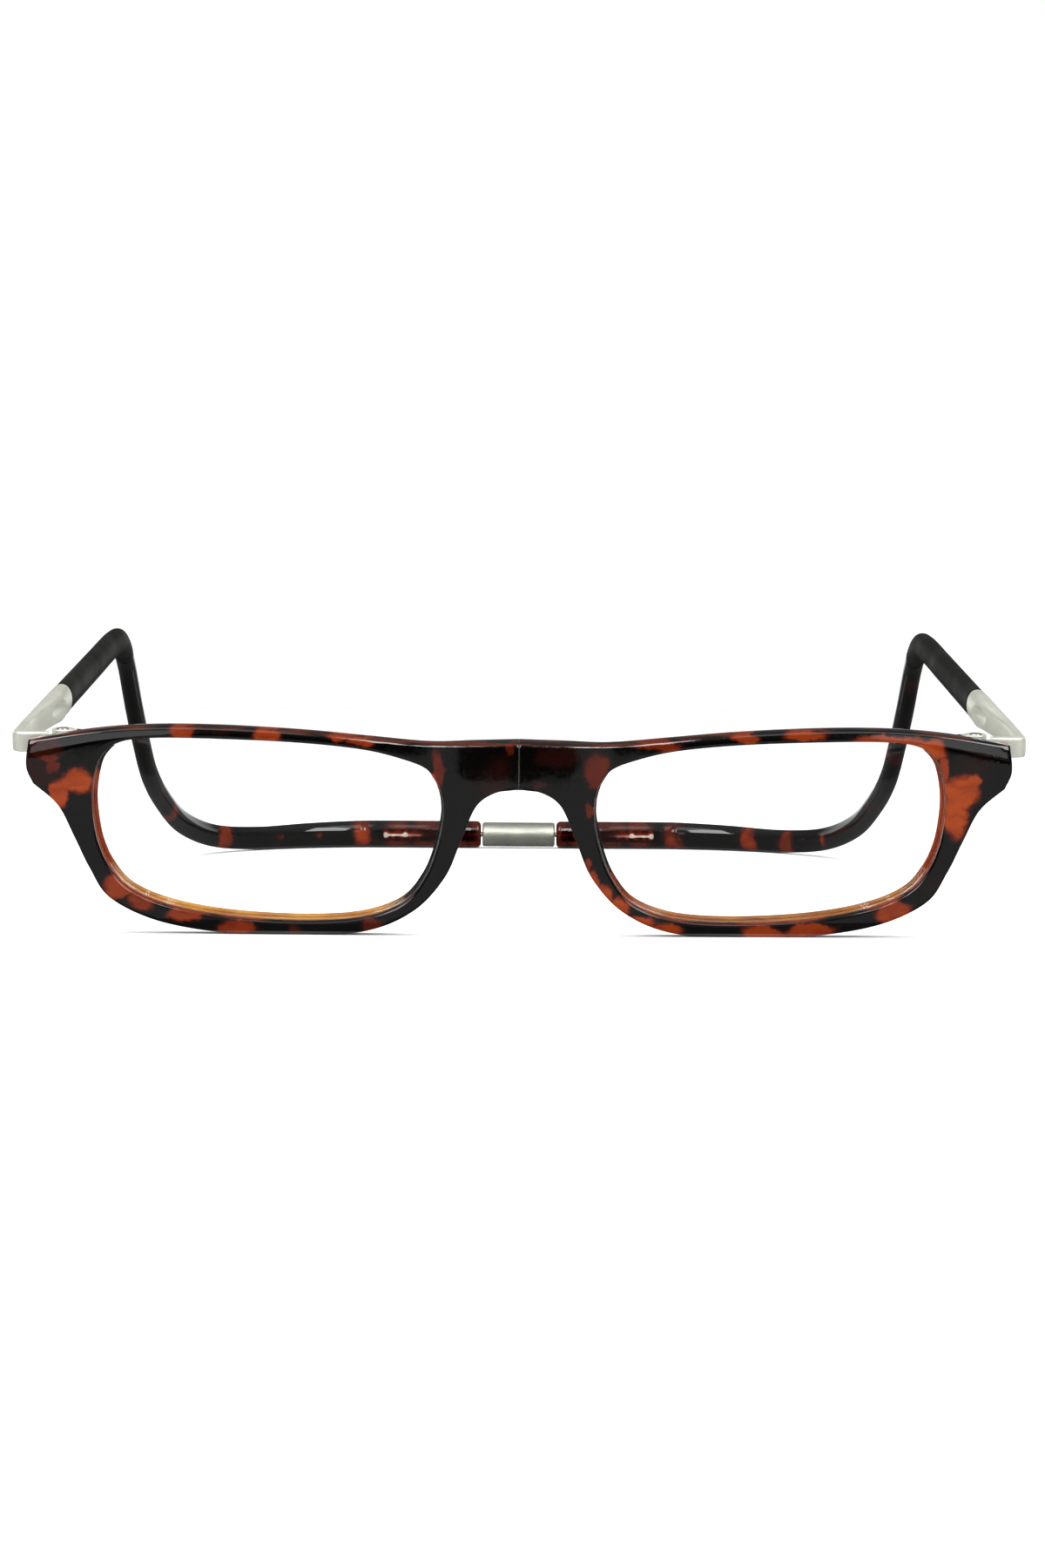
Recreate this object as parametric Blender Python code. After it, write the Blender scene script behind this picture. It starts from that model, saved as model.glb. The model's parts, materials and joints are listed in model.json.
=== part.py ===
"""Folding reading glasses with a magnetic bridge and a stretching neck band.

The two half-fronts meet at the bridge, where a pair of magnets holds them. Each one is hinged
to a metal elbow, which slides in and out of a soft temple sleeve. Behind the ear the sleeve
hands over to a neck band, and the two band halves slide on sprung rods that stand in a metal
tube at the nape.

Every piece is drawn in the glasses' own frame: the temples are level, X runs to the wearer's
left, Y from the bridge to the nape and Z up, with the origin on the bridge's front face at the
temples' height. At the end an empty called stance tips the whole object until it stands on the
lower edges of its rims and on the neck band, with its base centred on the world's origin.

Shapes are drawn for the wearer's left half, and the right half is their mirror image.
"""

import math

import bmesh
import bpy
from mathutils import Matrix, Vector

MM = 0.001
SIDES = {"left": 1, "right": -1}
TOUCH_GAP = 0.3 * MM  # kept between neighbouring pieces
X_AXIS = Vector((1, 0, 0))
Y_AXIS = Vector((0, 1, 0))
Z_AXIS = Vector((0, 0, 1))

# Half-front: the rim is lofted between the lens opening and its own outer edge.
SEAM_X = 0.2 * MM  # each half stops this far from the middle
FRONT_SWEEP_RADIUS = 1300 * MM  # how the front curves back towards the temples
RIM_DEPTH = 4.0 * MM
FRONT_BACK_LIMIT = 5.4 * MM  # flat seat for the hinge, behind the end piece
BRIDGE_EXTRA_DEPTH = 1.6 * MM
BRIDGE_THICK_TO = 5 * MM
BRIDGE_THIN_FROM = 13 * MM
SPAN_STEPS = 2  # loft stations from one key to the next

# Keys of the loft in mm: (opening x, opening z, outer x, outer z), edge by edge. The last key
# of an edge is a corner of the outer edge, and starts the next one.
TOP_KEYS = [
    (11.85, -6.3, 0.2, -0.6),
    (13.3, -4.45, 7.0, -0.75),
    (16.4, -3.1, 14.0, -0.65),
    (22.5, -1.6, 22.0, 0.05),
    (32.0, -0.65, 32.0, 0.9),
    (44.0, -0.2, 44.0, 1.45),
    (53.2, -0.2, 54.0, 1.4),
    (58.2, -0.95, 62.5, 0.65),
    (60.7, -2.9, 71.4, -0.8),
]
END_KEYS = [
    (61.7, -5.3, 71.75, -4.6),
    (62.2, -8.6, 70.8, -7.1),
]
LOWER_KEYS = [
    (62.05, -11.9, 67.2, -10.3),
    (61.4, -15.6, 64.9, -14.9),
    (59.9, -19.2, 62.7, -19.6),
    (57.1, -22.5, 59.8, -24.0),
    (51.5, -25.0, 53.0, -27.3),
    (43.0, -26.6, 43.5, -28.95),
    (32.0, -27.2, 32.0, -29.35),
    (23.0, -26.6, 22.0, -28.45),
    (16.8, -24.3, 15.2, -25.4),
    (13.5, -20.3, 10.7, -20.4),
    (11.75, -15.7, 8.4, -15.0),
    (10.95, -11.6, 6.2, -9.9),
    (10.9, -9.6, 3.4, -7.85),
    (11.1, -8.35, 0.2, -7.3),
]
SEAM_KEYS = [(11.4, -7.35, 0.2, -4.0)]

FRONT_INNER_ROUND = 0.45 * MM
FRONT_OUTER_ROUND = 1.1 * MM
SEAM_ROUND = 0.4 * MM
BACK_ROUND = 0.5 * MM
GROOVE_AT = 2.0 * MM  # behind the front face
GROOVE_DEPTH = 0.6 * MM
GROOVE_LIP = 0.7 * MM  # half its width at the wall
GROOVE_FLOOR = 0.25 * MM  # half its width at the bottom
LIP_FROM = 3.05 * MM  # the opening narrows behind the lens
LIP_STEP = 0.5 * MM
LIP_ROUND = 0.25 * MM

# Lens: a thin meniscus whose bevelled edge sits in the groove.
LENS_EDGE_OUT = 0.25 * MM
LENS_EDGE_HALF = 0.15 * MM
LENS_SHOULDER_IN = 0.5 * MM
LENS_RIM_HALF = 0.75 * MM
LENS_CENTRE_HALF = 1.1 * MM
LENS_BULGE = 1.2 * MM
LENS_RINGS = (0.6,)

# Bridge magnet, lying along X in a pocket of the seam face.
MAGNET_RADIUS = 1.9 * MM
MAGNET_LENGTH = 3.3 * MM
MAGNET_Y = 2.8 * MM
MAGNET_Z = -3.95 * MM

# Hinge: two lugs of the leaf on the front, with the elbow's barrel between them.
HINGE_X = 67.0 * MM
HINGE_Y = 7.3 * MM
HINGE_TOP = 0.15 * MM
HINGE_BOTTOM = -4.15 * MM
LUG_HEIGHT = 1.1 * MM
KNUCKLE_RADIUS = 1.6 * MM
PIN_RADIUS = 0.5 * MM
SCREW_HEAD_RADIUS = 0.95 * MM
SCREW_HEAD_HEIGHT = 0.45 * MM
SCREW_HEAD_TOP = 0.3 * MM
LEAF_X = (62.6 * MM, 65.0 * MM)
LEAF_Z = (-9.4 * MM, 0.15 * MM)
LEAF_THICKNESS = 0.9 * MM
RIVET_X = 63.95 * MM
RIVET_Z = {"upper": -5.5 * MM, "lower": -8.2 * MM}
RIVET_HEAD_RADIUS = 0.85 * MM
RIVET_HEAD_HEIGHT = 0.4 * MM
RIVET_TIP_Y = 3.6 * MM

# Elbow: (x, y, z, thickness, height, squareness) in mm along the metal arm, from the hinge
# round the tip of the front and back to the collar.
ELBOW_STATIONS = [
    (67.0, 7.3, -2.0, 1.0, 1.5, 6),
    (68.95, 6.75, -2.0, 1.4, 1.5, 6),
    (69.1, 6.7, -1.65, 1.5, 3.0, 6),
    (72.7, 6.6, -1.65, 1.5, 3.0, 6),
    (73.2, 6.72, -1.65, 1.5, 3.0, 6),
    (73.53, 7.05, -1.65, 1.5, 3.0, 6),
    (73.65, 7.5, -1.65, 1.5, 3.0, 6),
    (73.55, 11.0, -1.45, 1.4, 3.1, 6),
    (73.2, 15.5, -1.05, 1.4, 3.3, 5),
    (72.35, 20.0, -0.5, 1.9, 3.8, 4.5),
    (71.5, 24.0, 0.05, 2.7, 4.3, 3.5),
    (71.1, 26.3, 0.25, 3.2, 4.6, 3),
    (71.0, 28.3, 0.45, 3.3, 4.8, 2.4),
    (70.8, 31.7, 0.7, 3.3, 4.8, 2.2),
]
SCOOP_CENTRE = Vector((67.8, 24.5, 0.2)) * MM
SCOOP_RADII = Vector((2.6, 6.4, 2.5)) * MM
SCOOP_TURN = 13.7  # degrees in plan, in line with the collar's inner flank

# Route of one temple and its half of the neck band, in mm: straight to the ear, down behind
# it, round the neck and level along X for the last stretch.
ROUTE = [
    (70.8, 32.0, 0.7),
    (70.45, 48.0, 1.25),
    (70.1, 64.0, 1.8),
    (69.7, 82.0, 2.35),
    (69.5, 91.0, 1.4),
    (69.5, 99.0, -3.2),
    (69.4, 107.0, -11.5),
    (69.2, 114.8, -19.3),
    (69.0, 125.5, -27.8),
    (68.4, 140.0, -35.3),
    (66.6, 157.0, -43.1),
    (62.0, 173.0, -49.0),
    (54.0, 184.0, -51.7),
    (44.5, 191.0, -52.5),
    (35.5, 194.4, -52.8),
    (29.5, 195.0, -52.8),
    (18.0, 195.0, -52.8),
    (7.9, 195.0, -52.8),
]
ROUTE_STEPS = 2
NAPE_Y = 195.0 * MM
NAPE_Z = -52.8 * MM

# Sleeve: an oval tube from the collar to the bend behind the ear. Places along the route
# count control points, so 4.5 is halfway between the fifth and the sixth.
SLEEVE_END = 4.5
SLEEVE_SIZE = (3.2 * MM, 4.7 * MM)
SLEEVE_BORE = (2.2 * MM, 3.6 * MM)
SLEEVE_SLANT = 0.9  # slope of the rear end, which runs on along its inner side

# Tongue: the elbow's flat strip inside the sleeve.
TONGUE_SIZE = (1.2 * MM, 2.5 * MM)
TONGUE_FROM_Y = 29.2 * MM
TONGUE_LENGTH = 33.0 * MM
TONGUE_BOW = 0.3 * MM

# Neck band: a solid oval bar with a thin spigot in the sleeve and a bore at the nape.
SPIGOT_START = 3.5
SPIGOT_PLAIN_TO = 4.4
SPIGOT_SIZE = (1.5 * MM, 2.9 * MM)
BAND_START = 4.545
BAND_SIZE = (3.1 * MM, 4.6 * MM)
BAND_END_SIZE = (4.6 * MM, 5.6 * MM)
BAND_GROWS_FROM = 11.0
BAND_FULL_FROM = 14.5
BAND_END_ROUND = 0.9 * MM

# Expander: tube, rods, bushes and springs on one line along X at the nape.
TUBE_RADIUS = 2.55 * MM
TUBE_HALF = 7.6 * MM
TUBE_CHAMFER = 0.3 * MM
ROD_RADIUS = 0.5 * MM
ROD_FROM = 1.5 * MM
ROD_HEAD_AT = 27.4 * MM
ROD_HEAD_LENGTH = 1.0 * MM
ROD_HEAD_RADIUS = 1.15 * MM
BAND_BORE_RADIUS = 1.55 * MM
BAND_BORE_TO = 30.1 * MM
BUSH_FROM = 8.2 * MM
BUSH_LENGTH = 2.0 * MM
BUSH_RADII = (0.8 * MM, 1.25 * MM)
SPRING_WIRE_RADIUS = 0.18 * MM
SPRING_RADIUS = 1.0 * MM
SPRING_TURNS = 9
SPRING_STEPS = 8  # points in one turn

# Floor, as two points of its plane at X = 0: under the rims and under the neck band.
FLOOR_FRONT = Vector((0, 1.1, -29.15)) * MM
FLOOR_REAR = Vector((0, 195.0, -55.68)) * MM

ROUND_SIDES = 16


# ---------------------------------------------------------------- materials


def principled(name, color, roughness, metallic=0.0, transmission=0.0):
    """A material with one Principled BSDF."""
    material = bpy.data.materials.new(name)
    material.use_nodes = True
    shader = material.node_tree.nodes["Principled BSDF"]
    shader.inputs["Base Color"].default_value = (*color, 1.0)
    shader.inputs["Roughness"].default_value = roughness
    shader.inputs["Metallic"].default_value = metallic
    shader.inputs["Transmission Weight"].default_value = transmission
    return material


def make_materials():
    """The finishes, by name."""
    return {
        "tortoise": principled("tortoise", (0.06, 0.018, 0.01), 0.12),
        "lens": principled("lens", (0.97, 0.98, 0.98), 0.02, transmission=1.0),
        "nickel": principled("nickel", (0.72, 0.71, 0.66), 0.32, metallic=1.0),
        "steel": principled("steel", (0.55, 0.55, 0.55), 0.3, metallic=1.0),
        "magnet": principled("magnet", (0.5, 0.5, 0.52), 0.25, metallic=1.0),
        "soft_black": principled("soft_black", (0.025, 0.025, 0.024), 0.75),
    }


# ---------------------------------------------------------------- meshes and objects


def mesh_object(name, rings, material, side=1, loop=False):
    """Skin a list of point rings. Open ends are capped; a loop joins its last ring to its first."""
    bm = bmesh.new()
    rows = [[bm.verts.new((p.x * side, p.y, p.z)) for p in ring] for ring in rings]
    pairs = list(zip(rows, rows[1:]))
    if loop:
        pairs.append((rows[-1], rows[0]))
    for row, following in pairs:
        count = len(row)
        for i in range(count):
            j = (i + 1) % count
            bm.faces.new((row[i], row[j], following[j], following[i]))
    if not loop:
        bm.faces.new(rows[0])
        bm.faces.new(rows[-1])
    return finish_object(name, bm, material)


def finish_object(name, bm, material):
    """Turn a bmesh into a smooth-shaded object whose faces point out."""
    bmesh.ops.recalc_face_normals(bm, faces=bm.faces)
    mesh = bpy.data.meshes.new(name)
    bm.to_mesh(mesh)
    bm.free()
    if material:
        mesh.materials.append(material)
    mesh.shade_smooth()
    mesh.set_sharp_from_angle(angle=math.radians(35))
    obj = bpy.data.objects.new(name, mesh)
    bpy.context.scene.collection.objects.link(obj)
    return obj


def turned(name, profile, centre, axis, material, side=1, loop=False):
    """Turn a profile of (radius, distance along axis) about an axis through centre.

    A profile that starts and ends on the axis closes itself; a loop closes round a bore.
    """
    across = axis.orthogonal().normalized()
    other = axis.cross(across)
    bm = bmesh.new()

    def place(radius, along, angle):
        spoke = across * math.cos(angle) + other * math.sin(angle)
        point = centre + axis * along + spoke * radius
        return bm.verts.new((point.x * side, point.y, point.z))

    steps = [math.tau * i / ROUND_SIDES for i in range(ROUND_SIDES)]
    rows = [
        [place(r, a, 0)] if r == 0 else [place(r, a, step) for step in steps]
        for r, a in profile
    ]
    pairs = list(zip(rows, rows[1:]))
    if loop:
        pairs.append((rows[-1], rows[0]))
    for row, following in pairs:
        for i in range(ROUND_SIDES):
            j = (i + 1) % ROUND_SIDES
            corners = [row[i % len(row)], row[j % len(row)]]
            corners += [following[j % len(following)], following[i % len(following)]]
            bm.faces.new(list(dict.fromkeys(corners)))
    return finish_object(name, bm, material)


def extruded(name, outline, direction, material=None, side=1):
    """Extrude a closed outline of points by a vector."""
    moved = [p + direction for p in outline]
    return mesh_object(name, [outline, moved], material, side)


def combine(obj, tool, operation):
    """Cut or join obj with a hidden tool by a Boolean modifier."""
    tool.hide_render = True
    tool.display_type = "WIRE"
    modifier = obj.modifiers.new(tool.name, "BOOLEAN")
    modifier.operation = operation
    modifier.object = tool
    modifier.solver = "EXACT"
    tool.parent = obj
    tool.matrix_parent_inverse = obj.matrix_world.inverted()


def trim_below_floor(obj):
    """Slice off what lies below the floor plane and close the cut, which leaves a small flat."""
    normal = X_AXIS.cross(FLOOR_REAR - FLOOR_FRONT).normalized()
    bm = bmesh.new()
    bm.from_mesh(obj.data)
    geometry = bm.verts[:] + bm.edges[:] + bm.faces[:]
    bmesh.ops.bisect_plane(
        bm, geom=geometry, dist=1e-6, plane_co=FLOOR_FRONT, plane_no=normal, clear_inner=True
    )
    bmesh.ops.holes_fill(bm, edges=[e for e in bm.edges if e.is_boundary])
    bmesh.ops.recalc_face_normals(bm, faces=bm.faces)
    bm.to_mesh(obj.data)
    bm.free()


# ---------------------------------------------------------------- curves


def catmull_rom(before, start, end, after, t):
    """A point between start and end on the smooth curve through all four."""
    return 0.5 * (
        2 * start
        + (end - before) * t
        + (2 * before - 5 * start + 4 * end - after) * t * t
        + (3 * start - before - 3 * end + after) * t * t * t
    )


def curve_point(points, place, closed=False):
    """The curve's point at a place counted in control points."""
    count = len(points)
    index = int(place) if closed else min(int(place), count - 2)
    if closed:
        four = [points[(index + k) % count] for k in (-1, 0, 1, 2)]
    else:
        first = 2 * points[0] - points[1]
        last = 2 * points[-1] - points[-2]
        padded = [first, *points, last]
        four = padded[index : index + 4]
    return catmull_rom(*four, place - index)


def superellipse(width, height, squareness, count):
    """Points (across, up) round an oval; squareness 2 is an ellipse, more is boxier."""
    power = 2 / squareness
    points = []
    for i in range(count):
        angle = math.tau * (i + 0.5) / count
        c, s = math.cos(angle), math.sin(angle)
        across = math.copysign(abs(c) ** power, c) * width / 2
        up = math.copysign(abs(s) ** power, s) * height / 2
        points.append((across, up))
    return points


def ring_across(centre, heading, section, slant=0.0):
    """Place a section's points across a heading; slant slopes the ring along the heading."""
    heading = heading.normalized()
    side = Z_AXIS.cross(heading).normalized()
    up = heading.cross(side)
    return [centre + side * u + up * v + heading * (slant * u) for u, v in section]


# ---------------------------------------------------------------- the half-front


def sweep(x):
    """How far the front has curved back at x."""
    return x * x / (2 * FRONT_SWEEP_RADIUS)


def rim_back(x):
    """Y of the rim's back face: thicker at the bridge, flat behind the end piece."""
    share = (BRIDGE_THIN_FROM - x) / (BRIDGE_THIN_FROM - BRIDGE_THICK_TO)
    share = min(max(share, 0.0), 1.0)
    swell = share * share * (3 - 2 * share)
    plain = min(sweep(x) + RIM_DEPTH, FRONT_BACK_LIMIT)
    return plain + BRIDGE_EXTRA_DEPTH * swell


def rim_stations():
    """(opening point, outer point) in XZ round the loft; the outer edge keeps its corners."""
    edges = [
        TOP_KEYS,
        [TOP_KEYS[-1], *END_KEYS],
        [END_KEYS[-1], *LOWER_KEYS],
        [LOWER_KEYS[-1], *SEAM_KEYS, TOP_KEYS[0]],
    ]
    openings = [Vector(k[:2]) * MM for edge in edges for k in edge[:-1]]
    stations = []
    for edge in edges:
        outers = [Vector(k[2:]) * MM for k in edge]
        for step in range((len(edge) - 1) * SPAN_STEPS):
            opening = curve_point(openings, len(stations) / SPAN_STEPS, closed=True)
            stations.append((opening, curve_point(outers, step / SPAN_STEPS)))
    return stations


def rim_section(opening, outer):
    """One ring of the rim, from the opening out over the front and home along the back."""
    across = outer - opening
    width = across.length
    across.normalize()
    at_seam = outer.x < 1.5 * SEAM_X
    outer_round = SEAM_ROUND if at_seam else FRONT_OUTER_ROUND

    def front(out, behind):
        point = opening + across * out
        return Vector((point.x, sweep(point.x) + behind, point.y))

    def back(out, ahead):
        point = opening + across * out
        return Vector((point.x, rim_back(point.x) - ahead, point.y))

    near, far = FRONT_INNER_ROUND, outer_round
    return [
        front(0, near),
        front(0.3 * near, 0.3 * near),
        front(near, 0),
        front(width - far, 0),
        front(width - 0.3 * far, 0.3 * far),
        front(width, far),
        back(width, BACK_ROUND),
        back(width - BACK_ROUND, 0),
        back(LIP_ROUND - LIP_STEP, 0),
        back(-LIP_STEP, LIP_ROUND),
        front(-LIP_STEP, LIP_FROM + LIP_ROUND),
        front(0, LIP_FROM),
        front(0, GROOVE_AT + GROOVE_LIP),
        front(GROOVE_DEPTH, GROOVE_AT + GROOVE_FLOOR),
        front(GROOVE_DEPTH, GROOVE_AT - GROOVE_FLOOR),
        front(0, GROOVE_AT - GROOVE_LIP),
    ]


def make_rim(name, side, material):
    """Half-front with its lens groove, magnet pocket and rivet holes."""
    rings = [rim_section(*station) for station in rim_stations()]
    rim = mesh_object(f"rim_{name}", rings, material, side, loop=True)
    trim_below_floor(rim)
    pocket = [
        (0, -1 * MM),
        (MAGNET_RADIUS + TOUCH_GAP, -1 * MM),
        (MAGNET_RADIUS + TOUCH_GAP, MAGNET_LENGTH + TOUCH_GAP),
        (0, MAGNET_LENGTH + TOUCH_GAP),
    ]
    centre = Vector((SEAM_X, MAGNET_Y, MAGNET_Z))
    combine(rim, turned(f"magnet_pocket_{name}", pocket, centre, X_AXIS, None, side), "DIFFERENCE")
    for place, z in RIVET_Z.items():
        hole = rivet_hole(f"rim_{place}_rivet_hole_{name}", z, side)
        combine(rim, hole, "DIFFERENCE")
    return rim


def make_lens(name, side, material):
    """Lens with a bevelled edge, thicker in the middle."""
    stations = rim_stations()
    middle = sum((opening for opening, _ in stations), Vector((0, 0))) / len(stations)

    def ring(half, share=1.0, offset=0.0):
        points = []
        for opening, outer in stations:
            place = opening + (outer - opening).normalized() * offset
            place = middle + (place - middle) * share
            bulge = LENS_BULGE * (1 - share * share)
            points.append(Vector((place.x, sweep(place.x) + GROOVE_AT - bulge + half, place.y)))
        return points

    def half_at(share):
        return LENS_RIM_HALF + (LENS_CENTRE_HALF - LENS_RIM_HALF) * (1 - share * share)

    faces = [(half_at(share), share) for share in LENS_RINGS]
    rings = [ring(-half, share) for half, share in reversed(faces)]
    rings.append(ring(-LENS_RIM_HALF, offset=-LENS_SHOULDER_IN))
    rings.append(ring(-LENS_EDGE_HALF, offset=LENS_EDGE_OUT))
    rings.append(ring(LENS_EDGE_HALF, offset=LENS_EDGE_OUT))
    rings.append(ring(LENS_RIM_HALF, offset=-LENS_SHOULDER_IN))
    rings += [ring(half, share) for half, share in faces]
    return mesh_object(f"lens_{name}", rings, material, side)


def make_magnet(name, side, material):
    """Disc magnet, flush with the seam face."""
    profile = [(0, 0), (MAGNET_RADIUS, 0), (MAGNET_RADIUS, MAGNET_LENGTH), (0, MAGNET_LENGTH)]
    centre = Vector((SEAM_X, MAGNET_Y, MAGNET_Z))
    return turned(f"bridge_magnet_{name}", profile, centre, X_AXIS, material, side)


# ---------------------------------------------------------------- the hinge


def leaf_front():
    """Y of the hinge leaf's face next to the end piece."""
    return FRONT_BACK_LIMIT + TOUCH_GAP


def box_outline(x_range, y, z_range):
    """A rectangle in a plane of constant y."""
    (x0, x1), (z0, z1) = x_range, z_range
    return [Vector(p) for p in ((x0, y, z0), (x1, y, z0), (x1, y, z1), (x0, y, z1))]


def lug_outline(z):
    """The leaf's knuckle in plan: a web that leads into a round eye."""
    web_from = LEAF_X[1] - 0.8 * MM
    front = leaf_front()
    points = [Vector((web_from, front, z)), Vector((HINGE_X, front, z))]
    for degrees in range(-60, 151, 30):
        angle = math.radians(degrees)
        x = HINGE_X + KNUCKLE_RADIUS * math.cos(angle)
        y = HINGE_Y + KNUCKLE_RADIUS * math.sin(angle)
        points.append(Vector((x, y, z)))
    points.append(Vector((web_from, front + 0.8 * LEAF_THICKNESS, z)))
    return points


def hinge_hole(name, side):
    """Cutter for the hinge pin, with a seat for the screw's head at the top."""
    seat = SCREW_HEAD_TOP - SCREW_HEAD_HEIGHT - TOUCH_GAP
    shank = PIN_RADIUS + TOUCH_GAP
    head = SCREW_HEAD_RADIUS + TOUCH_GAP
    foot, top = -6 * MM, 2 * MM
    profile = [(0, foot), (shank, foot), (shank, seat), (head, seat), (head, top), (0, top)]
    return turned(name, profile, Vector((HINGE_X, HINGE_Y, 0)), Z_AXIS, None, side)


def rivet_hole(name, z, side):
    """Cutter for one rivet: a hole through the leaf, or a blind one in the end piece."""
    radius = PIN_RADIUS + TOUCH_GAP
    start, end = RIVET_TIP_Y - TOUCH_GAP, leaf_front() + 2 * MM
    profile = [(0, start), (radius, start), (radius, end), (0, end)]
    return turned(name, profile, Vector((RIVET_X, 0, z)), Y_AXIS, None, side)


def make_hinge_leaf(name, side, material):
    """Plate riveted behind the end piece, with two lugs for the hinge screw."""
    outline = box_outline(LEAF_X, leaf_front(), LEAF_Z)
    thick = Y_AXIS * LEAF_THICKNESS
    leaf = extruded(f"hinge_leaf_{name}", outline, thick, material, side)
    lug_feet = {"lower": HINGE_BOTTOM, "upper": HINGE_TOP - LUG_HEIGHT}
    for place, z in lug_feet.items():
        up = Z_AXIS * LUG_HEIGHT
        lug = extruded(f"hinge_{place}_lug_{name}", lug_outline(z), up, None, side)
        combine(leaf, lug, "UNION")
    combine(leaf, hinge_hole(f"leaf_hinge_hole_{name}", side), "DIFFERENCE")
    for place, z in RIVET_Z.items():
        hole = rivet_hole(f"leaf_{place}_rivet_hole_{name}", z, side)
        combine(leaf, hole, "DIFFERENCE")
    return leaf


def make_rivet(name, place, side, material):
    """Rivet that holds the leaf: a shank in the end piece and a head behind the leaf."""
    seat = leaf_front() + LEAF_THICKNESS + TOUCH_GAP
    top = seat + RIVET_HEAD_HEIGHT
    profile = [
        (0, RIVET_TIP_Y),
        (PIN_RADIUS, RIVET_TIP_Y),
        (PIN_RADIUS, seat),
        (RIVET_HEAD_RADIUS, seat),
        (0.6 * RIVET_HEAD_RADIUS, top),
        (0, top),
    ]
    centre = Vector((RIVET_X, 0, RIVET_Z[place]))
    return turned(f"leaf_rivet_{place}_{name}", profile, centre, Y_AXIS, material, side)


def make_hinge_screw(name, side, material):
    """Hinge screw: a slotted head in the upper lug and a shank down through the stack."""
    seat = SCREW_HEAD_TOP - SCREW_HEAD_HEIGHT
    profile = [
        (0, HINGE_BOTTOM),
        (PIN_RADIUS, HINGE_BOTTOM),
        (PIN_RADIUS, seat),
        (SCREW_HEAD_RADIUS, seat),
        (SCREW_HEAD_RADIUS, SCREW_HEAD_TOP - 0.15 * MM),
        (0.7 * SCREW_HEAD_RADIUS, SCREW_HEAD_TOP),
        (0, SCREW_HEAD_TOP),
    ]
    centre = Vector((HINGE_X, HINGE_Y, 0))
    screw = turned(f"hinge_screw_{name}", profile, centre, Z_AXIS, material, side)
    slot_x = (HINGE_X - 2 * MM, HINGE_X + 2 * MM)
    slot_z = (SCREW_HEAD_TOP - 0.2 * MM, SCREW_HEAD_TOP + 1 * MM)
    outline = box_outline(slot_x, HINGE_Y - 0.15 * MM, slot_z)
    slot = extruded(f"screw_slot_{name}", outline, Y_AXIS * 0.3 * MM, None, side)
    combine(screw, slot, "DIFFERENCE")
    return screw


# ---------------------------------------------------------------- the elbow and its tongue


def elbow_rings():
    """Sections across the metal arm, each one square to the way it runs."""
    centres = [Vector(s[:3]) * MM for s in ELBOW_STATIONS]
    rings = []
    for i, (_, _, _, thickness, height, squareness) in enumerate(ELBOW_STATIONS):
        before = centres[max(i - 1, 0)]
        after = centres[min(i + 1, len(centres) - 1)]
        heading = after - before
        heading.z = 0
        section = superellipse(thickness * MM, height * MM, squareness, 16)
        rings.append(ring_across(centres[i], heading, section))
    return rings


def tongue_heading():
    """Direction in which the tongue, and with it the front, slides."""
    return (Vector(ROUTE[2]) - Vector(ROUTE[0])).normalized()


def tongue_centre(along):
    """Point on the tongue's centre line at a distance from its front end."""
    start = Vector(ROUTE[0]) * MM
    heading = tongue_heading()
    offset = (TONGUE_FROM_Y - start.y) / heading.y
    return start + heading * (offset + along)


def make_elbow(name, side, material):
    """Elbow: hinge barrel, arm round the tip of the front, and collar with a scooped flank."""
    elbow = mesh_object(f"temple_elbow_{name}", elbow_rings(), material, side)
    bottom = HINGE_BOTTOM + LUG_HEIGHT + TOUCH_GAP
    top = HINGE_TOP - LUG_HEIGHT - TOUCH_GAP
    profile = [(0, bottom), (KNUCKLE_RADIUS, bottom), (KNUCKLE_RADIUS, top), (0, top)]
    axis_foot = Vector((HINGE_X, HINGE_Y, 0))
    barrel = turned(f"elbow_barrel_{name}", profile, axis_foot, Z_AXIS, None, side)
    combine(elbow, barrel, "UNION")
    combine(elbow, hinge_hole(f"elbow_hinge_hole_{name}", side), "DIFFERENCE")
    grown = [size + 2 * TOUCH_GAP for size in TONGUE_SIZE]
    section = superellipse(*grown, 4, 12)
    ends = [tongue_centre(-TOUCH_GAP), tongue_centre(5 * MM)]
    rings = [ring_across(end, tongue_heading(), section) for end in ends]
    combine(elbow, mesh_object(f"tongue_socket_{name}", rings, None, side), "DIFFERENCE")
    combine(elbow, make_scoop(name, side), "DIFFERENCE")
    return elbow


def make_scoop(name, side):
    """Cutter for the hollow on the inner side of the collar."""
    bm = bmesh.new()
    bmesh.ops.create_uvsphere(bm, u_segments=24, v_segments=12, radius=1)
    turn = Matrix.Rotation(math.radians(SCOOP_TURN), 3, "Z")
    for vertex in bm.verts:
        point = SCOOP_CENTRE + turn @ (vertex.co * SCOOP_RADII)
        vertex.co = (point.x * side, point.y, point.z)
    return finish_object(f"collar_scoop_{name}", bm, None)


def make_tongue(name, side, material):
    """Flat strip fixed in the collar, bowed near its tip so that it grips the sleeve."""
    rings = []
    for share, bow in ((0, 0), (0.7, 0), (0.8, 0.5), (0.88, 1), (0.96, 0), (1, -1)):
        width = TONGUE_SIZE[0] + bow * TONGUE_BOW
        section = superellipse(width, TONGUE_SIZE[1], 4, 12)
        rings.append(ring_across(tongue_centre(share * TONGUE_LENGTH), tongue_heading(), section))
    return mesh_object(f"slide_tongue_{name}", rings, material, side)


# ---------------------------------------------------------------- the sleeve and the neck band


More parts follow.
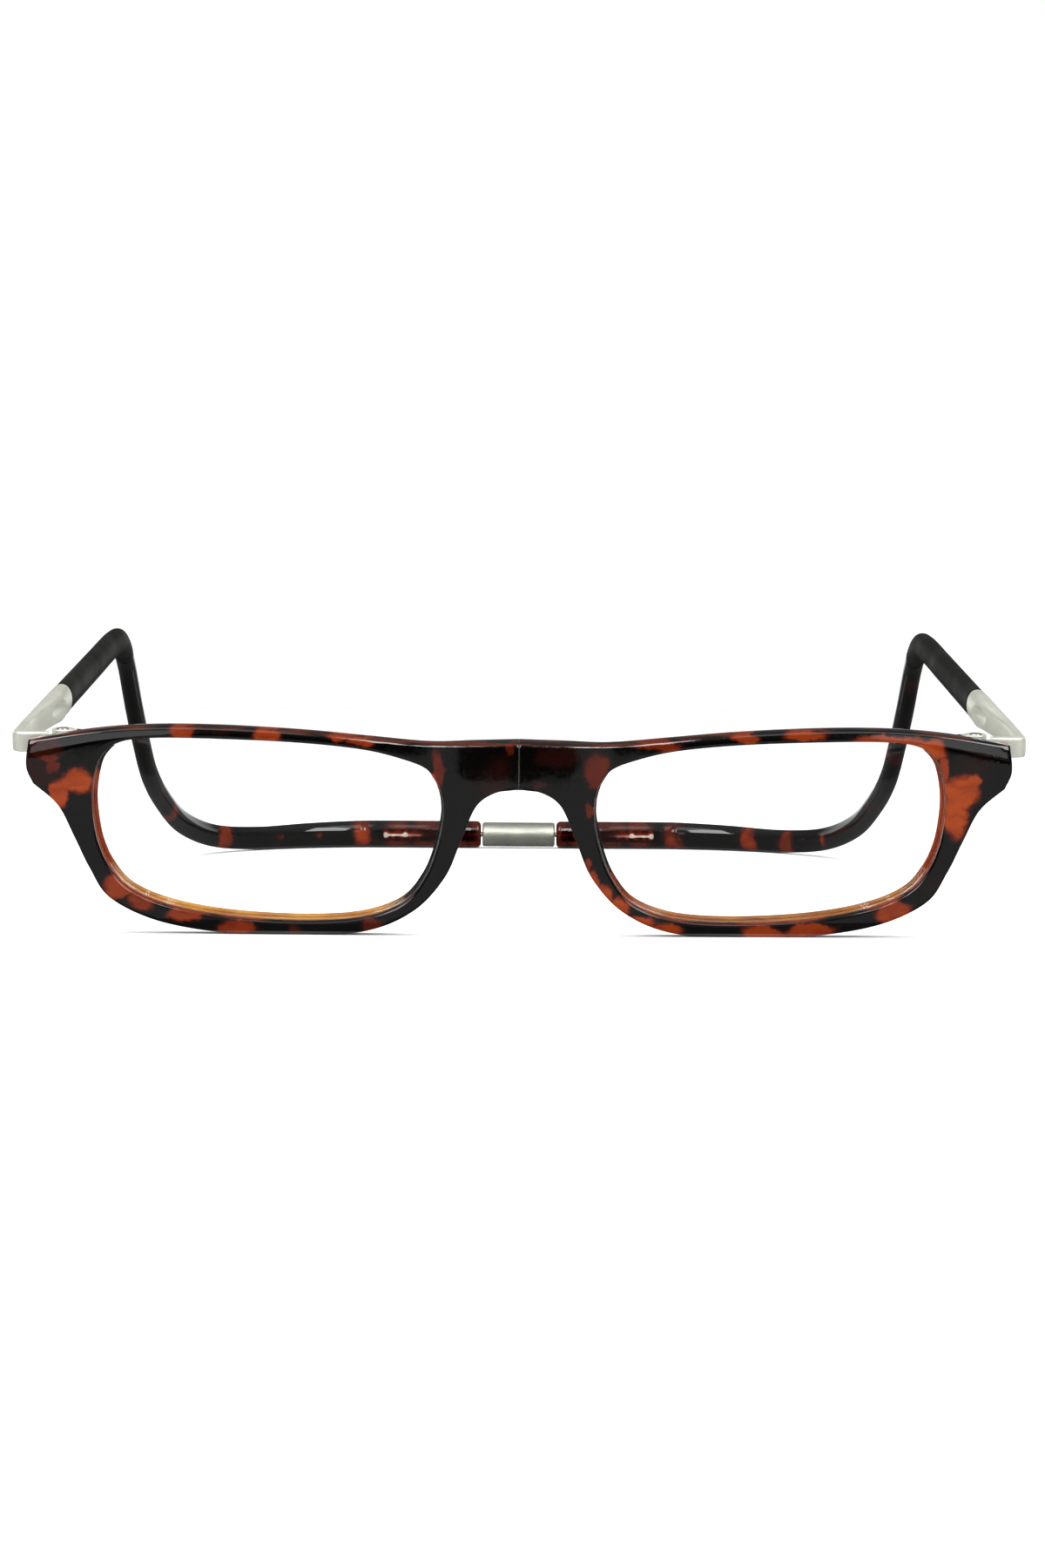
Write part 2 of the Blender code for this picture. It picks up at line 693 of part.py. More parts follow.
def route_ring(place, section, slant=0.0):
    """A ring across the temple's route at a place along it."""
    points = [Vector(p) * MM for p in ROUTE]
    centre = curve_point(points, place)
    step = 0.02
    low, high = max(place - step, 0), min(place + step, len(points) - 1)
    heading = curve_point(points, high) - curve_point(points, low)
    return ring_across(centre, heading, section, slant)


def places_between(start, end):
    """Places along the route from start to end, with the same spacing in each span."""
    first, last = math.floor(start * ROUTE_STEPS) + 1, math.ceil(end * ROUTE_STEPS) - 1
    inner = [k / ROUTE_STEPS for k in range(first, last + 1)]
    return [start, *inner, end]


def make_sleeve(name, side, material):
    """Soft oval tube over the temple, cut off at a slant behind the ear."""
    places = [0, 1, 2, *places_between(3, SLEEVE_END)]
    outer = superellipse(*SLEEVE_SIZE, 2.2, 14)
    bore = superellipse(*SLEEVE_BORE, 2.2, 14)

    def slant(place):
        return SLEEVE_SLANT if place == SLEEVE_END else 0.0

    rings = [route_ring(place, outer, slant(place)) for place in places]
    rings += [route_ring(place, bore, slant(place)) for place in reversed(places)]
    return mesh_object(f"temple_sleeve_{name}", rings, material, side, loop=True)


def band_size(place):
    """(Thickness, height) of the neck band, which grows towards the nape."""
    share = (place - BAND_GROWS_FROM) / (BAND_FULL_FROM - BAND_GROWS_FROM)
    share = min(max(share, 0.0), 1.0)
    share = share * share * (3 - 2 * share)
    return [a + (b - a) * share for a, b in zip(BAND_SIZE, BAND_END_SIZE)]


def make_band(name, side, material):
    """Half of the neck band: spigot, curved bar and bored, rounded end."""
    spigot = superellipse(*SPIGOT_SIZE, 2.2, 14)
    rings = [route_ring(place, spigot) for place in places_between(SPIGOT_START, SPIGOT_PLAIN_TO)]
    rings.append(route_ring(BAND_START, spigot, SLEEVE_SLANT))
    end = len(ROUTE) - 1
    last_span = (Vector(ROUTE[-1]) - Vector(ROUTE[-2])).length * MM
    round_from = end - BAND_END_ROUND / last_span
    for place in places_between(BAND_START, round_from):
        slant = SLEEVE_SLANT if place == BAND_START else 0.0
        rings.append(route_ring(place, superellipse(*band_size(place), 2.2, 14), slant))
    for degrees in (45, 90):
        angle = math.radians(degrees)
        place = round_from + (end - round_from) * math.sin(angle)
        shrink = 2 * BAND_END_ROUND * (1 - math.cos(angle))
        size = [length - shrink for length in BAND_END_SIZE]
        rings.append(route_ring(place, superellipse(*size, 2.2, 14)))
    band = mesh_object(f"neck_band_{name}", rings, material, side)
    trim_below_floor(band)
    profile = [
        (0, 5 * MM),
        (BAND_BORE_RADIUS, 5 * MM),
        (BAND_BORE_RADIUS, BAND_BORE_TO),
        (0, BAND_BORE_TO),
    ]
    bore = turned(f"band_bore_{name}", profile, nape_centre(), X_AXIS, None, side)
    combine(band, bore, "DIFFERENCE")
    return band


# ---------------------------------------------------------------- the expander at the nape


def nape_centre():
    """Point on the expander's axis at X = 0."""
    return Vector((0, NAPE_Y, NAPE_Z))


def make_tube(material):
    """Metal tube with a blind hole for a rod at each end."""
    hole = ROD_RADIUS + TOUCH_GAP
    floor = ROD_FROM - TOUCH_GAP
    half = [
        (0, floor),
        (hole, floor),
        (hole, TUBE_HALF),
        (TUBE_RADIUS - TUBE_CHAMFER, TUBE_HALF),
        (TUBE_RADIUS, TUBE_HALF - TUBE_CHAMFER),
    ]
    profile = half + [(radius, -along) for radius, along in reversed(half)]
    return turned("expander_tube", profile, nape_centre(), X_AXIS, material)


def make_rod(name, side, material):
    """Rod that stands in the tube, with a head that holds the spring."""
    profile = [
        (0, ROD_FROM),
        (ROD_RADIUS, ROD_FROM),
        (ROD_RADIUS, ROD_HEAD_AT),
        (ROD_HEAD_RADIUS, ROD_HEAD_AT),
        (ROD_HEAD_RADIUS, ROD_HEAD_AT + 0.7 * ROD_HEAD_LENGTH),
        (0.7 * ROD_HEAD_RADIUS, ROD_HEAD_AT + ROD_HEAD_LENGTH),
        (0, ROD_HEAD_AT + ROD_HEAD_LENGTH),
    ]
    return turned(f"expander_rod_{name}", profile, nape_centre(), X_AXIS, material, side)


def make_bush(name, side, material):
    """Ring in the mouth of the band's bore, which runs on the rod and pushes the spring."""
    inner, outer = BUSH_RADII
    start, end = BUSH_FROM, BUSH_FROM + BUSH_LENGTH
    profile = [(inner, start), (outer, start), (outer, end), (inner, end)]
    node = f"expander_bush_{name}"
    return turned(node, profile, nape_centre(), X_AXIS, material, side, loop=True)


def make_spring(name, side, material):
    """Compression spring round the rod, between the bush and the rod's head."""
    start = BUSH_FROM + BUSH_LENGTH + TOUCH_GAP + SPRING_WIRE_RADIUS
    length = ROD_HEAD_AT - TOUCH_GAP - SPRING_WIRE_RADIUS - start
    section = superellipse(2 * SPRING_WIRE_RADIUS, 2 * SPRING_WIRE_RADIUS, 2, 5)
    rings = []
    for i in range(SPRING_TURNS * SPRING_STEPS + 1):
        angle = math.tau * i / SPRING_STEPS
        along = start + length * i / (SPRING_TURNS * SPRING_STEPS)
        spoke = Vector((0, math.cos(angle), math.sin(angle)))
        heading = Vector((0, -math.sin(angle), math.cos(angle))) * math.tau * SPRING_RADIUS
        heading += X_AXIS * length / SPRING_TURNS
        heading.normalize()
        over = heading.cross(spoke)
        centre = nape_centre() + X_AXIS * along + spoke * SPRING_RADIUS
        rings.append([centre + spoke * u + over * v for u, v in section])
    return mesh_object(f"expander_spring_{name}", rings, material, side)


# ---------------------------------------------------------------- assembly


def make_pivot(name, place, parent, pieces):
    """An empty on a joint's axis that carries the pieces of one moving body."""
    pivot = bpy.data.objects.new(name, None)
    pivot.empty_display_size = 5 * MM
    bpy.context.scene.collection.objects.link(pivot)
    pivot.location = place
    attach(pivot, parent)
    for piece in pieces:
        attach(piece, pivot)
    return pivot


def attach(child, parent):
    """Parent a child where it is."""
    bpy.context.view_layer.update()
    if parent:
        child.parent = parent
        child.matrix_parent_inverse = parent.matrix_world.inverted()


def make_side(name, side, finish, stance):
    """All pieces of one side, hung from their joints in the order in which they move."""
    band = [
        make_band(name, side, finish["tortoise"]),
        make_sleeve(name, side, finish["soft_black"]),
        make_bush(name, side, finish["steel"]),
    ]
    expander = [
        make_rod(name, side, finish["steel"]),
        make_spring(name, side, finish["steel"]),
    ]
    temple = [
        make_elbow(name, side, finish["nickel"]),
        make_tongue(name, side, finish["steel"]),
    ]
    front = [
        make_rim(name, side, finish["tortoise"]),
        make_lens(name, side, finish["lens"]),
        make_magnet(name, side, finish["magnet"]),
        make_hinge_leaf(name, side, finish["nickel"]),
        make_hinge_screw(name, side, finish["steel"]),
    ]
    front += [make_rivet(name, place, side, finish["steel"]) for place in RIVET_Z]
    for piece in expander:
        attach(piece, stance)
    mouth = Vector((side * TUBE_HALF, NAPE_Y, NAPE_Z))
    band_pivot = make_pivot(f"band_slide_{name}", mouth, stance, band)
    socket = tongue_centre(0)
    socket.x *= side
    temple_pivot = make_pivot(f"temple_slide_{name}", socket, band_pivot, temple)
    hinge = Vector((side * HINGE_X, HINGE_Y, 0))
    make_pivot(f"front_hinge_{name}", hinge, temple_pivot, front)


def stand_up(stance):
    """Tip the glasses onto the floor and centre their base on the origin."""
    slope = FLOOR_REAR - FLOOR_FRONT
    tilt = math.atan2(-slope.z, slope.y)
    stance.matrix_world = Matrix.Rotation(tilt, 4, "X") @ Matrix.Translation(-FLOOR_FRONT)
    bpy.context.view_layer.update()
    depths = [
        (obj.matrix_world @ vertex.co).y
        for obj in bpy.context.scene.objects
        if obj.type == "MESH" and not obj.hide_render
        for vertex in obj.data.vertices
    ]
    middle = (min(depths) + max(depths)) / 2
    stance.matrix_world = Matrix.Translation((0, -middle, 0)) @ stance.matrix_world


def main():
    """Build the glasses in an empty scene."""
    for obj in list(bpy.data.objects):
        bpy.data.objects.remove(obj, do_unlink=True)
    finish = make_materials()
    stance = make_pivot("stance", Vector((0, 0, 0)), None, [make_tube(finish["nickel"])])
    for name, side in SIDES.items():
        make_side(name, side, finish, stance)
    stand_up(stance)


main()
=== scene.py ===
"""Looks of the folding reading glasses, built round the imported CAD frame.

Each piece is drawn in the glasses' own frame, as the CAD is: the temples are level, X runs to
the wearer's left, Y from the bridge to the nape and Z up, with the origin on the bridge's front
face. The matrix STANCE, worked out from the frame's hinge, takes a piece to where the object
stands. Shapes are drawn for the wearer's left half and mirrored for the right one.
"""

import json
import math

import bmesh
import bpy
import numpy as np
from mathutils import Matrix, Vector


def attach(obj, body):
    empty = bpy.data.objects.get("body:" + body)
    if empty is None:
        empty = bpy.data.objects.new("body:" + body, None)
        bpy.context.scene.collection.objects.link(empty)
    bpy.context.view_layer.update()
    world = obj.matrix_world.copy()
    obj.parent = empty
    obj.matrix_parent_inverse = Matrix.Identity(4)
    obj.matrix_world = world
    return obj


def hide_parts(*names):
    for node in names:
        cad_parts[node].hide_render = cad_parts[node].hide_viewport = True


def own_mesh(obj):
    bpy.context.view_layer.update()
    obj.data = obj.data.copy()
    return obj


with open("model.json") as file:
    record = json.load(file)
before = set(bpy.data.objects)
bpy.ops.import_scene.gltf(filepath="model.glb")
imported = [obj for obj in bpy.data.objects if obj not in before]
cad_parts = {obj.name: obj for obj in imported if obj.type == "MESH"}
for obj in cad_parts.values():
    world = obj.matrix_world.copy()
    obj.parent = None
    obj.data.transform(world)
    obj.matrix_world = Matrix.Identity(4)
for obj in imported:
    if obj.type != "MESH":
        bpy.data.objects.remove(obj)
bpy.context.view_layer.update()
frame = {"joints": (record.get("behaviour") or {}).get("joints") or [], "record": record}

MM = 0.001
SIDES = {"left": 1, "right": -1}
X_AXIS = Vector((1, 0, 0))
Y_AXIS = Vector((0, 1, 0))
Z_AXIS = Vector((0, 0, 1))
TOUCH_GAP = 0.3 * MM  # left between two pieces that would touch
OVERSHOOT = 1 * MM  # how far a cutter reaches past the face that it cuts
SHARP_ANGLE = 40  # edges sharper than this are not shaded smooth

# Half-front.
SEAM_X = 0.2 * MM
SEAM_LOOK_X = 0.002 * MM  # the halves are drawn almost touching
FRONT_SWEEP_RADIUS = 1300 * MM
RIM_DEPTH = 4.0 * MM
FRONT_BACK_LIMIT = 5.4 * MM
BRIDGE_EXTRA_DEPTH = 1.6 * MM
BRIDGE_THICK_TO = 5 * MM
BRIDGE_THIN_FROM = 13 * MM
SPAN_STEPS = 8
# Its edges, as in the CAD: (opening x, opening z, outer x, outer z) in mm.
TOP_KEYS = [
    (11.85, -6.3, 0.2, -0.6),
    (13.3, -4.45, 7.0, -0.75),
    (16.4, -3.1, 14.0, -0.65),
    (22.5, -1.6, 22.0, 0.05),
    (32.0, -0.65, 32.0, 0.9),
    (44.0, -0.2, 44.0, 1.45),
    (53.2, -0.2, 54.0, 1.4),
    (58.2, -0.95, 62.5, 0.65),
    (60.7, -2.9, 71.4, -0.8),
]
END_KEYS = [
    (61.7, -5.3, 71.75, -4.6),
    (62.2, -8.6, 70.8, -7.1),
]
LOWER_KEYS = [
    (62.05, -11.9, 67.2, -10.3),
    (61.4, -15.6, 64.9, -14.9),
    (59.9, -19.2, 62.7, -19.6),
    (57.1, -22.5, 59.8, -24.0),
    (51.5, -25.0, 53.0, -27.3),
    (43.0, -26.6, 43.5, -28.95),
    (32.0, -27.2, 32.0, -29.35),
    (23.0, -26.6, 22.0, -28.45),
    (16.8, -24.3, 15.2, -25.4),
    (13.5, -20.3, 10.7, -20.4),
    (11.75, -15.7, 8.4, -15.0),
    (10.95, -11.6, 6.2, -9.9),
    (10.9, -9.6, 3.4, -7.85),
    (11.1, -8.35, 0.2, -7.3),
]
SEAM_KEYS = [(11.4, -7.35, 0.2, -4.0)]

INNER_ROUND = 0.4 * MM
OUTER_ROUND = 0.5 * MM
SEAM_ROUND = 0.07 * MM
BACK_ROUND = 0.5 * MM
BROW_SLOPE = 0.23  # of the bevel along the upper edge of the front
BROW_WIDTH = [(14, 0.0), (20, 0.6), (45, 0.9), (60, 1.5), (72, 2.2)]  # (x, its width) in mm
FACE_STEPS = 20  # points across the front face, closest near its outer edge
FACE_CROWDING = 1.5
LIMB_RISE = 0.34 * MM  # how far the nose limb stands forward of the bridge
LIMB_X = (8.4, 9.6, 13.0, 14.6)  # where that rise begins, is full, and ends, in mm
LIMB_Z = (-1.15, -1.85, -18.0)  # the rise begins, is full, and has faded out, in mm
GROOVE_AT = 2.0 * MM
GROOVE_DEPTH = 0.6 * MM
GROOVE_LIP = 0.7 * MM
GROOVE_FLOOR = 0.25 * MM
LIP_FROM = 3.05 * MM
LIP_STEP = 0.5 * MM
LIP_ROUND = 0.25 * MM

LENS_EDGE_OUT = 0.25 * MM
LENS_EDGE_HALF = 0.15 * MM
LENS_SHOULDER_IN = 0.5 * MM
LENS_FRONT_SHOULDER_IN = 0.17 * MM
LENS_HALF = 0.75 * MM
LENS_BULGE = 1.2 * MM
LENS_RINGS = 14
LENS_BEVEL_FACING = 0.7  # faces that turn further sideways than this are the ground bevel

MOULD_MARK_SIDE = "left"
MOULD_MARK = (69.3, -2.6, 0.55)  # centre x, z and radius, in mm
MOULD_MARK_WIRE = 0.07 * MM

MAGNET_RADIUS = 1.9 * MM
MAGNET_LENGTH = 3.3 * MM
MAGNET_PLACE = Vector((SEAM_LOOK_X, 2.8 * MM, -3.95 * MM))

# Hinge, elbow and tongue.
HINGE_X = 67.0 * MM
HINGE_Y = 7.3 * MM
HINGE_PLACE = Vector((HINGE_X, HINGE_Y, 0))
HINGE_TOP = 0.15 * MM
HINGE_BOTTOM = -4.15 * MM
LUG_HEIGHT = 1.1 * MM
KNUCKLE_RADIUS = 1.6 * MM
PIN_RADIUS = 0.5 * MM
SCREW_HEAD_RADIUS = 0.95 * MM
SCREW_HEAD_HEIGHT = 0.45 * MM
SCREW_HEAD_TOP = 0.3 * MM
SCREW_SHOULDER = 0.14 * MM
SCREW_SLOT = (0.3 * MM, 0.22 * MM)  # width and depth
LEAF_X = (62.6 * MM, 65.0 * MM)
LEAF_Z = (-9.4 * MM, 0.15 * MM)
LEAF_THICKNESS = 0.9 * MM
RIVET_X = 63.95 * MM
RIVET_Z = {"upper": -5.5 * MM, "lower": -8.2 * MM}
RIVET_HEAD_RADIUS = 0.85 * MM
RIVET_HEAD_HEIGHT = 0.4 * MM
RIVET_HEAD_RIM = 0.1 * MM
RIVET_TIP_Y = 3.6 * MM

# (x, y, z, thickness, height, squareness) in mm along the elbow's arm, as in the CAD.
ELBOW_STATIONS = [
    (67.0, 7.3, -2.0, 1.0, 1.5, 6),
    (68.95, 6.75, -2.0, 1.4, 1.5, 6),
    (69.1, 6.7, -1.65, 1.5, 3.0, 6),
    (72.7, 6.6, -1.65, 1.5, 3.0, 6),
    (73.2, 6.72, -1.65, 1.5, 3.0, 6),
    (73.53, 7.05, -1.65, 1.5, 3.0, 6),
    (73.65, 7.5, -1.65, 1.5, 3.0, 6),
    (73.55, 11.0, -1.45, 1.4, 3.1, 6),
    (73.2, 15.5, -1.05, 1.4, 3.3, 5),
    (72.35, 20.0, -0.5, 1.9, 3.8, 4.5),
    (71.5, 24.0, 0.05, 2.7, 4.3, 3.5),
    (71.1, 26.3, 0.25, 3.2, 4.6, 3),
    (71.0, 28.3, 0.45, 3.3, 4.8, 2.4),
    (70.8, 31.7, 0.7, 3.3, 4.8, 2.2),
]
ELBOW_SMOOTH_FROM = 3  # stations from here on lie on one smooth curve
SCOOP_CENTRE = Vector((67.8, 24.5, 0.2)) * MM
SCOOP_RADII = Vector((2.6, 6.4, 2.5)) * MM
SCOOP_TURN = 13.7
SOCKET_DEPTH = 5 * MM
TONGUE_SIZE = (1.2 * MM, 2.5 * MM)
TONGUE_FROM_Y = 29.2 * MM
TONGUE_LENGTH = 33.0 * MM
TONGUE_BOW = 0.3 * MM
# (Share of its length, bow outwards as a share of the full one) along the tongue.
TONGUE_KEYS = [Vector(k) for k in ((0, 0), (0.7, 0), (0.8, 0.5), (0.88, 1), (0.96, 0), (1, -1))]

# Route of one temple and its half of the neck band, in mm, as in the CAD.
ROUTE = [
    (70.8, 32.0, 0.7),
    (70.45, 48.0, 1.25),
    (70.1, 64.0, 1.8),
    (69.7, 82.0, 2.35),
    (69.5, 91.0, 1.4),
    (69.5, 99.0, -3.2),
    (69.4, 107.0, -11.5),
    (69.2, 114.8, -19.3),
    (69.0, 125.5, -27.8),
    (68.4, 140.0, -35.3),
    (66.6, 157.0, -43.1),
    (62.0, 173.0, -49.0),
    (54.0, 184.0, -51.7),
    (44.5, 191.0, -52.5),
    (35.5, 194.4, -52.8),
    (29.5, 195.0, -52.8),
    (18.0, 195.0, -52.8),
    (7.9, 195.0, -52.8),
]
ROUTE_STEPS = 10
NAPE = Vector((0, 195.0, -52.8)) * MM
SLEEVE_END = 4.5
SLEEVE_SIZE = (3.2 * MM, 4.7 * MM)
SLEEVE_BORE = (2.2 * MM, 3.6 * MM)
SLEEVE_SLANT = 0.9
SLANT_FADE = 0.45  # places along the route over which the slant dies out
SLEEVE_EDGE_ROUND = 0.18 * MM
SLEEVE_EDGE_WAVE = 0.16 * MM
SLEEVE_SQUARENESS = 2.2  # of the sleeve and of the band
SPIGOT_START = 3.5
SPIGOT_SIZE = (1.5 * MM, 2.9 * MM)
BAND_START = 4.545
BAND_SIZE = (3.1 * MM, 4.6 * MM)
BAND_END_SIZE = (4.6 * MM, 5.6 * MM)
BAND_GROWS_FROM = 11.0
BAND_FULL_FROM = 14.5
BAND_END_ROUND = 0.9 * MM
BAND_BORE_RADIUS = 1.55 * MM
BAND_BORE_TO = 30.1 * MM
BAND_STRAIGHT_TO = 29.0 * MM

# Expander at the nape.
TUBE_RADIUS = 2.55 * MM
TUBE_HALF = 7.6 * MM
TUBE_CHAMFER = 0.3 * MM
ROD_RADIUS = 0.5 * MM
ROD_FROM = 1.5 * MM
ROD_BEAD_AT = 23.8 * MM
ROD_BEAD_RADIUS = 0.65 * MM
ROD_BEAD_HALF = (0.2 * MM, 0.4 * MM)  # at its full radius, and where it meets the rod
ROD_HEAD_AT = 27.4 * MM
ROD_HEAD_LENGTH = 1.0 * MM
ROD_HEAD_RADIUS = 1.15 * MM
BUSH_FROM = 8.2 * MM
BUSH_LENGTH = 2.0 * MM
BUSH_RADII = (0.8 * MM, 1.25 * MM)
SPRING_WIRE_RADIUS = 0.18 * MM
SPRING_RADIUS = 1.0 * MM
SPRING_TURNS = 9
SPRING_STEPS = 28

# The stage, in metres.
FLOOR_HALF = 30.0
FLOOR_WHITE = (0.9, 0.9, 0.9)
ROOM_HALF = 1.6
ROOM_HEIGHT = 2.2
# Glow of the sheets that only the gloss sees: even, or (at the floor, aloft, height of that).
GLOWS = {
    "wall": (0.04, 0.3, ROOM_HEIGHT),
    "rear": (0.9, 0.06, 0.6),
    "room_floor": (0.1,),
    "near_floor": (0.42,),
    "tip_floor": (0.7,),
    "nape_floor": (0.38,),
    "overhead": (1.8,),
    "ledge": (16.0,),
    "side_lamp": (9.0,),
    "panel": (1.5,),
}
# Patches of floor with a glow of their own, as (x, y, x, y) of two corners.
NEAR_FLOOR = (-0.5, -0.26, 0.5, -0.1)
TIP_FLOOR = (0.1, -1.4, 0.6, -0.5)
NAPE_FLOOR = (-0.012, -0.08, 0.012, 0.088)
# Heights of the room's floor, of those patches and of the black flag, above the white floor.
FLOOR_LAYERS = (0.5 * MM, 1.0 * MM, 1.5 * MM)
WORLD_GLOW = 1.2
# Lamps, as (place, size, power); the side lamp is mirrored.
OVERHEAD_LAMP = ((0.0, 0.0, 0.9), (1.0, 0.8), 9.0)
SIDE_LAMP = ((0.8, -0.6, 0.8), (0.5, 0.5), 4.0)
# Black sheet on the floor ahead: the bridge and the wings mirror it, the nose limbs don't.
FLAG_HALF = [
    (0.0, -0.166),
    (0.0085, -0.167),
    (0.0115, -0.172),
    (0.0115, -0.25),
    (0.018, -0.25),
    (0.018, -0.18),
]
FLAG_FAR = [(0.6, -0.18), (0.6, -0.5), (0.1, -0.5), (0.1, -1.4), (-0.6, -1.4), (-0.6, -0.18)]
FLAG_OUTLINE = FLAG_HALF + FLAG_FAR + [(-x, y) for x, y in reversed(FLAG_HALF)][:-1]

FLOOR_FRONT = Vector((0, 1.1, -29.15)) * MM
FLOOR_REAR = Vector((0, 195.0, -55.68)) * MM
ROUND_SIDES = 56
OVAL_POINTS = 40

# Camera, placed in the glasses' own frame.
CAMERA_PLACE = Vector((0, -433, 72.7)) * MM
CAMERA_PITCH_DOWN = 10.35
CAMERA_ROLL = 0.35
CAMERA_LENS = 69.8
CAMERA_SENSOR = 36
CAMERA_SHIFT_X = 0.0023


# ---------------------------------------------------------------- the frame


def joint(name):
    """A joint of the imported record."""
    return next(j for j in frame["joints"] if j["name"] == name)


def stance_matrix():
    """From the glasses' own frame to the frame of the standing object."""
    hinge = joint("front_hinge_left")
    axis = Vector(hinge["axis"])
    tilt = Matrix.Rotation(math.atan2(axis.y, -axis.z), 4, "X")
    place = Vector(hinge["pos_m"]) - tilt @ HINGE_PLACE
    return Matrix.Translation(place) @ tilt


STANCE = stance_matrix()
BODIES = frame["record"]["behaviour"]["bodies"]
BODY_OF = {node: body for body, nodes in BODIES.items() for node in nodes}


# ---------------------------------------------------------------- curves


def catmull_rom(before, start, end, after, t):
    """A point between start and end on the smooth curve through all four."""
    return 0.5 * (
        2 * start
        + (end - before) * t
        + (2 * before - 5 * start + 4 * end - after) * t * t
        + (3 * start - before - 3 * end + after) * t * t * t
    )


def curve_point(points, place, closed=False):
    """The curve's point at a place counted in control points."""
    count = len(points)
    index = int(place) if closed else min(int(place), count - 2)
    if closed:
        four = [points[(index + k) % count] for k in (-1, 0, 1, 2)]
    else:
        first = 2 * points[0] - points[1]
        last = 2 * points[-1] - points[-2]
        padded = [first, *points, last]
        four = padded[index : index + 4]
    return catmull_rom(*four, place - index)


def smooth_share(value):
    """A smooth step from 0 to 1."""
    value = min(max(value, 0.0), 1.0)
    return value * value * (3 - 2 * value)


def superellipse(width, height, squareness, count=OVAL_POINTS):
    """Points (across, up) round an oval; squareness 2 is an ellipse, more is boxier."""
    power = 2 / squareness
    points = []
    for i in range(count):
        angle = math.tau * (i + 0.5) / count
        c, s = math.cos(angle), math.sin(angle)
        across = math.copysign(abs(c) ** power, c) * width / 2
        up = math.copysign(abs(s) ** power, s) * height / 2
        points.append((across, up))
    return points


def oval(width, height):
    """The section shared by the sleeve and the band."""
    return superellipse(width, height, SLEEVE_SQUARENESS)


def rectangle(x0, y0, x1, y1):
    """Corners of the rectangle between two opposite ones."""
    return [(x0, y0), (x1, y0), (x1, y1), (x0, y1)]


def turns(*degrees):
    """The (cosine, sine) of each angle."""
    return [(math.cos(math.radians(d)), math.sin(math.radians(d))) for d in degrees]


def cylinder(radius, start, end):
    """Profile of a cylinder, for turned()."""
    return [(0, start), (radius, start), (radius, end), (0, end)]


def ring_across(centre, heading, section, shift=None):
    """Place a section's points across a heading; shift(u, v) moves each one along it."""
    heading = heading.normalized()
    side = Z_AXIS.cross(heading).normalized()
    up = heading.cross(side)
    ring = [centre + side * u + up * v for u, v in section]
    if shift:
        ring = [point + heading * shift(u, v) for point, (u, v) in zip(ring, section)]
    return ring


# ---------------------------------------------------------------- meshes and objects


def object_of(name, bm, materials):
    """An object of a bmesh, still in the glasses' own frame."""
    bmesh.ops.recalc_face_normals(bm, faces=bm.faces)
    mesh = bpy.data.meshes.new(name)
    bm.to_mesh(mesh)
    bm.free()
    for material in materials:
        mesh.materials.append(material)
    obj = bpy.data.objects.new(name, mesh)
    bpy.context.scene.collection.objects.link(obj)
    return obj


def skin(name, rings, materials, side=1, loop=False, wall=()):
    """Skin a list of point rings. Quads that start at a point listed in wall get material 1."""
    bm = bmesh.new()
    rows = [[bm.verts.new((p.x * side, p.y, p.z)) for p in ring] for ring in rings]
    pairs = list(zip(rows, rows[1:]))
    if loop:
        pairs.append((rows[-1], rows[0]))
    for row, following in pairs:
        count = len(row)
        for i in range(count):
            j = (i + 1) % count
            face = bm.faces.new((row[i], row[j], following[j], following[i]))
            face.material_index = 1 if i in wall else 0
    if not loop:
        bm.faces.new(rows[0])
        bm.faces.new(rows[-1])
    return object_of(name, bm, materials)


def turned(name, profile, centre, axis, material, side=1, loop=False):
    """Turn a profile of (radius, distance along axis) about an axis through centre."""
    across = axis.orthogonal().normalized()
    other = axis.cross(across)
    bm = bmesh.new()

    def place(radius, along, angle):
        spoke = across * math.cos(angle) + other * math.sin(angle)
        point = centre + axis * along + spoke * radius
        return bm.verts.new((point.x * side, point.y, point.z))

    steps = [math.tau * i / ROUND_SIDES for i in range(ROUND_SIDES)]
    rows = [
        [place(r, a, 0)] if r == 0 else [place(r, a, step) for step in steps]
        for r, a in profile
    ]
    pairs = list(zip(rows, rows[1:]))
    if loop:
        pairs.append((rows[-1], rows[0]))
    for row, following in pairs:
        for i in range(ROUND_SIDES):
            j = (i + 1) % ROUND_SIDES
            corners = [row[i % len(row)], row[j % len(row)]]
            corners += [following[j % len(following)], following[i % len(following)]]
            bm.faces.new(list(dict.fromkeys(corners)))
    return object_of(name, bm, [material] if material else [])


def extruded(name, outline, direction, material=None, side=1):
    """Extrude a closed outline of points by a vector."""
    moved = [p + direction for p in outline]
    return skin(name, [outline, moved], [material] if material else [], side)


def apply_modifiers(obj):
    """Make the object's modifiers part of its mesh."""
    depsgraph = bpy.context.evaluated_depsgraph_get()
    mesh = bpy.data.meshes.new_from_object(obj.evaluated_get(depsgraph))
    obj.modifiers.clear()
    obj.data = mesh


def combine(obj, tool, operation):
    """Cut or join obj with a tool, which is used up."""
    modifier = obj.modifiers.new(tool.name, "BOOLEAN")
    modifier.operation = operation
    modifier.object = tool
    modifier.solver = "EXACT"
    apply_modifiers(obj)
    bpy.data.objects.remove(tool)


def round_edges(obj, width, angle):
    """Round every edge that is sharper than an angle."""
    modifier = obj.modifiers.new("rounded edges", "BEVEL")
    modifier.width = width
    modifier.segments = 3
    modifier.limit_method = "ANGLE"
    modifier.angle_limit = math.radians(angle)
    modifier.harden_normals = False
    apply_modifiers(obj)


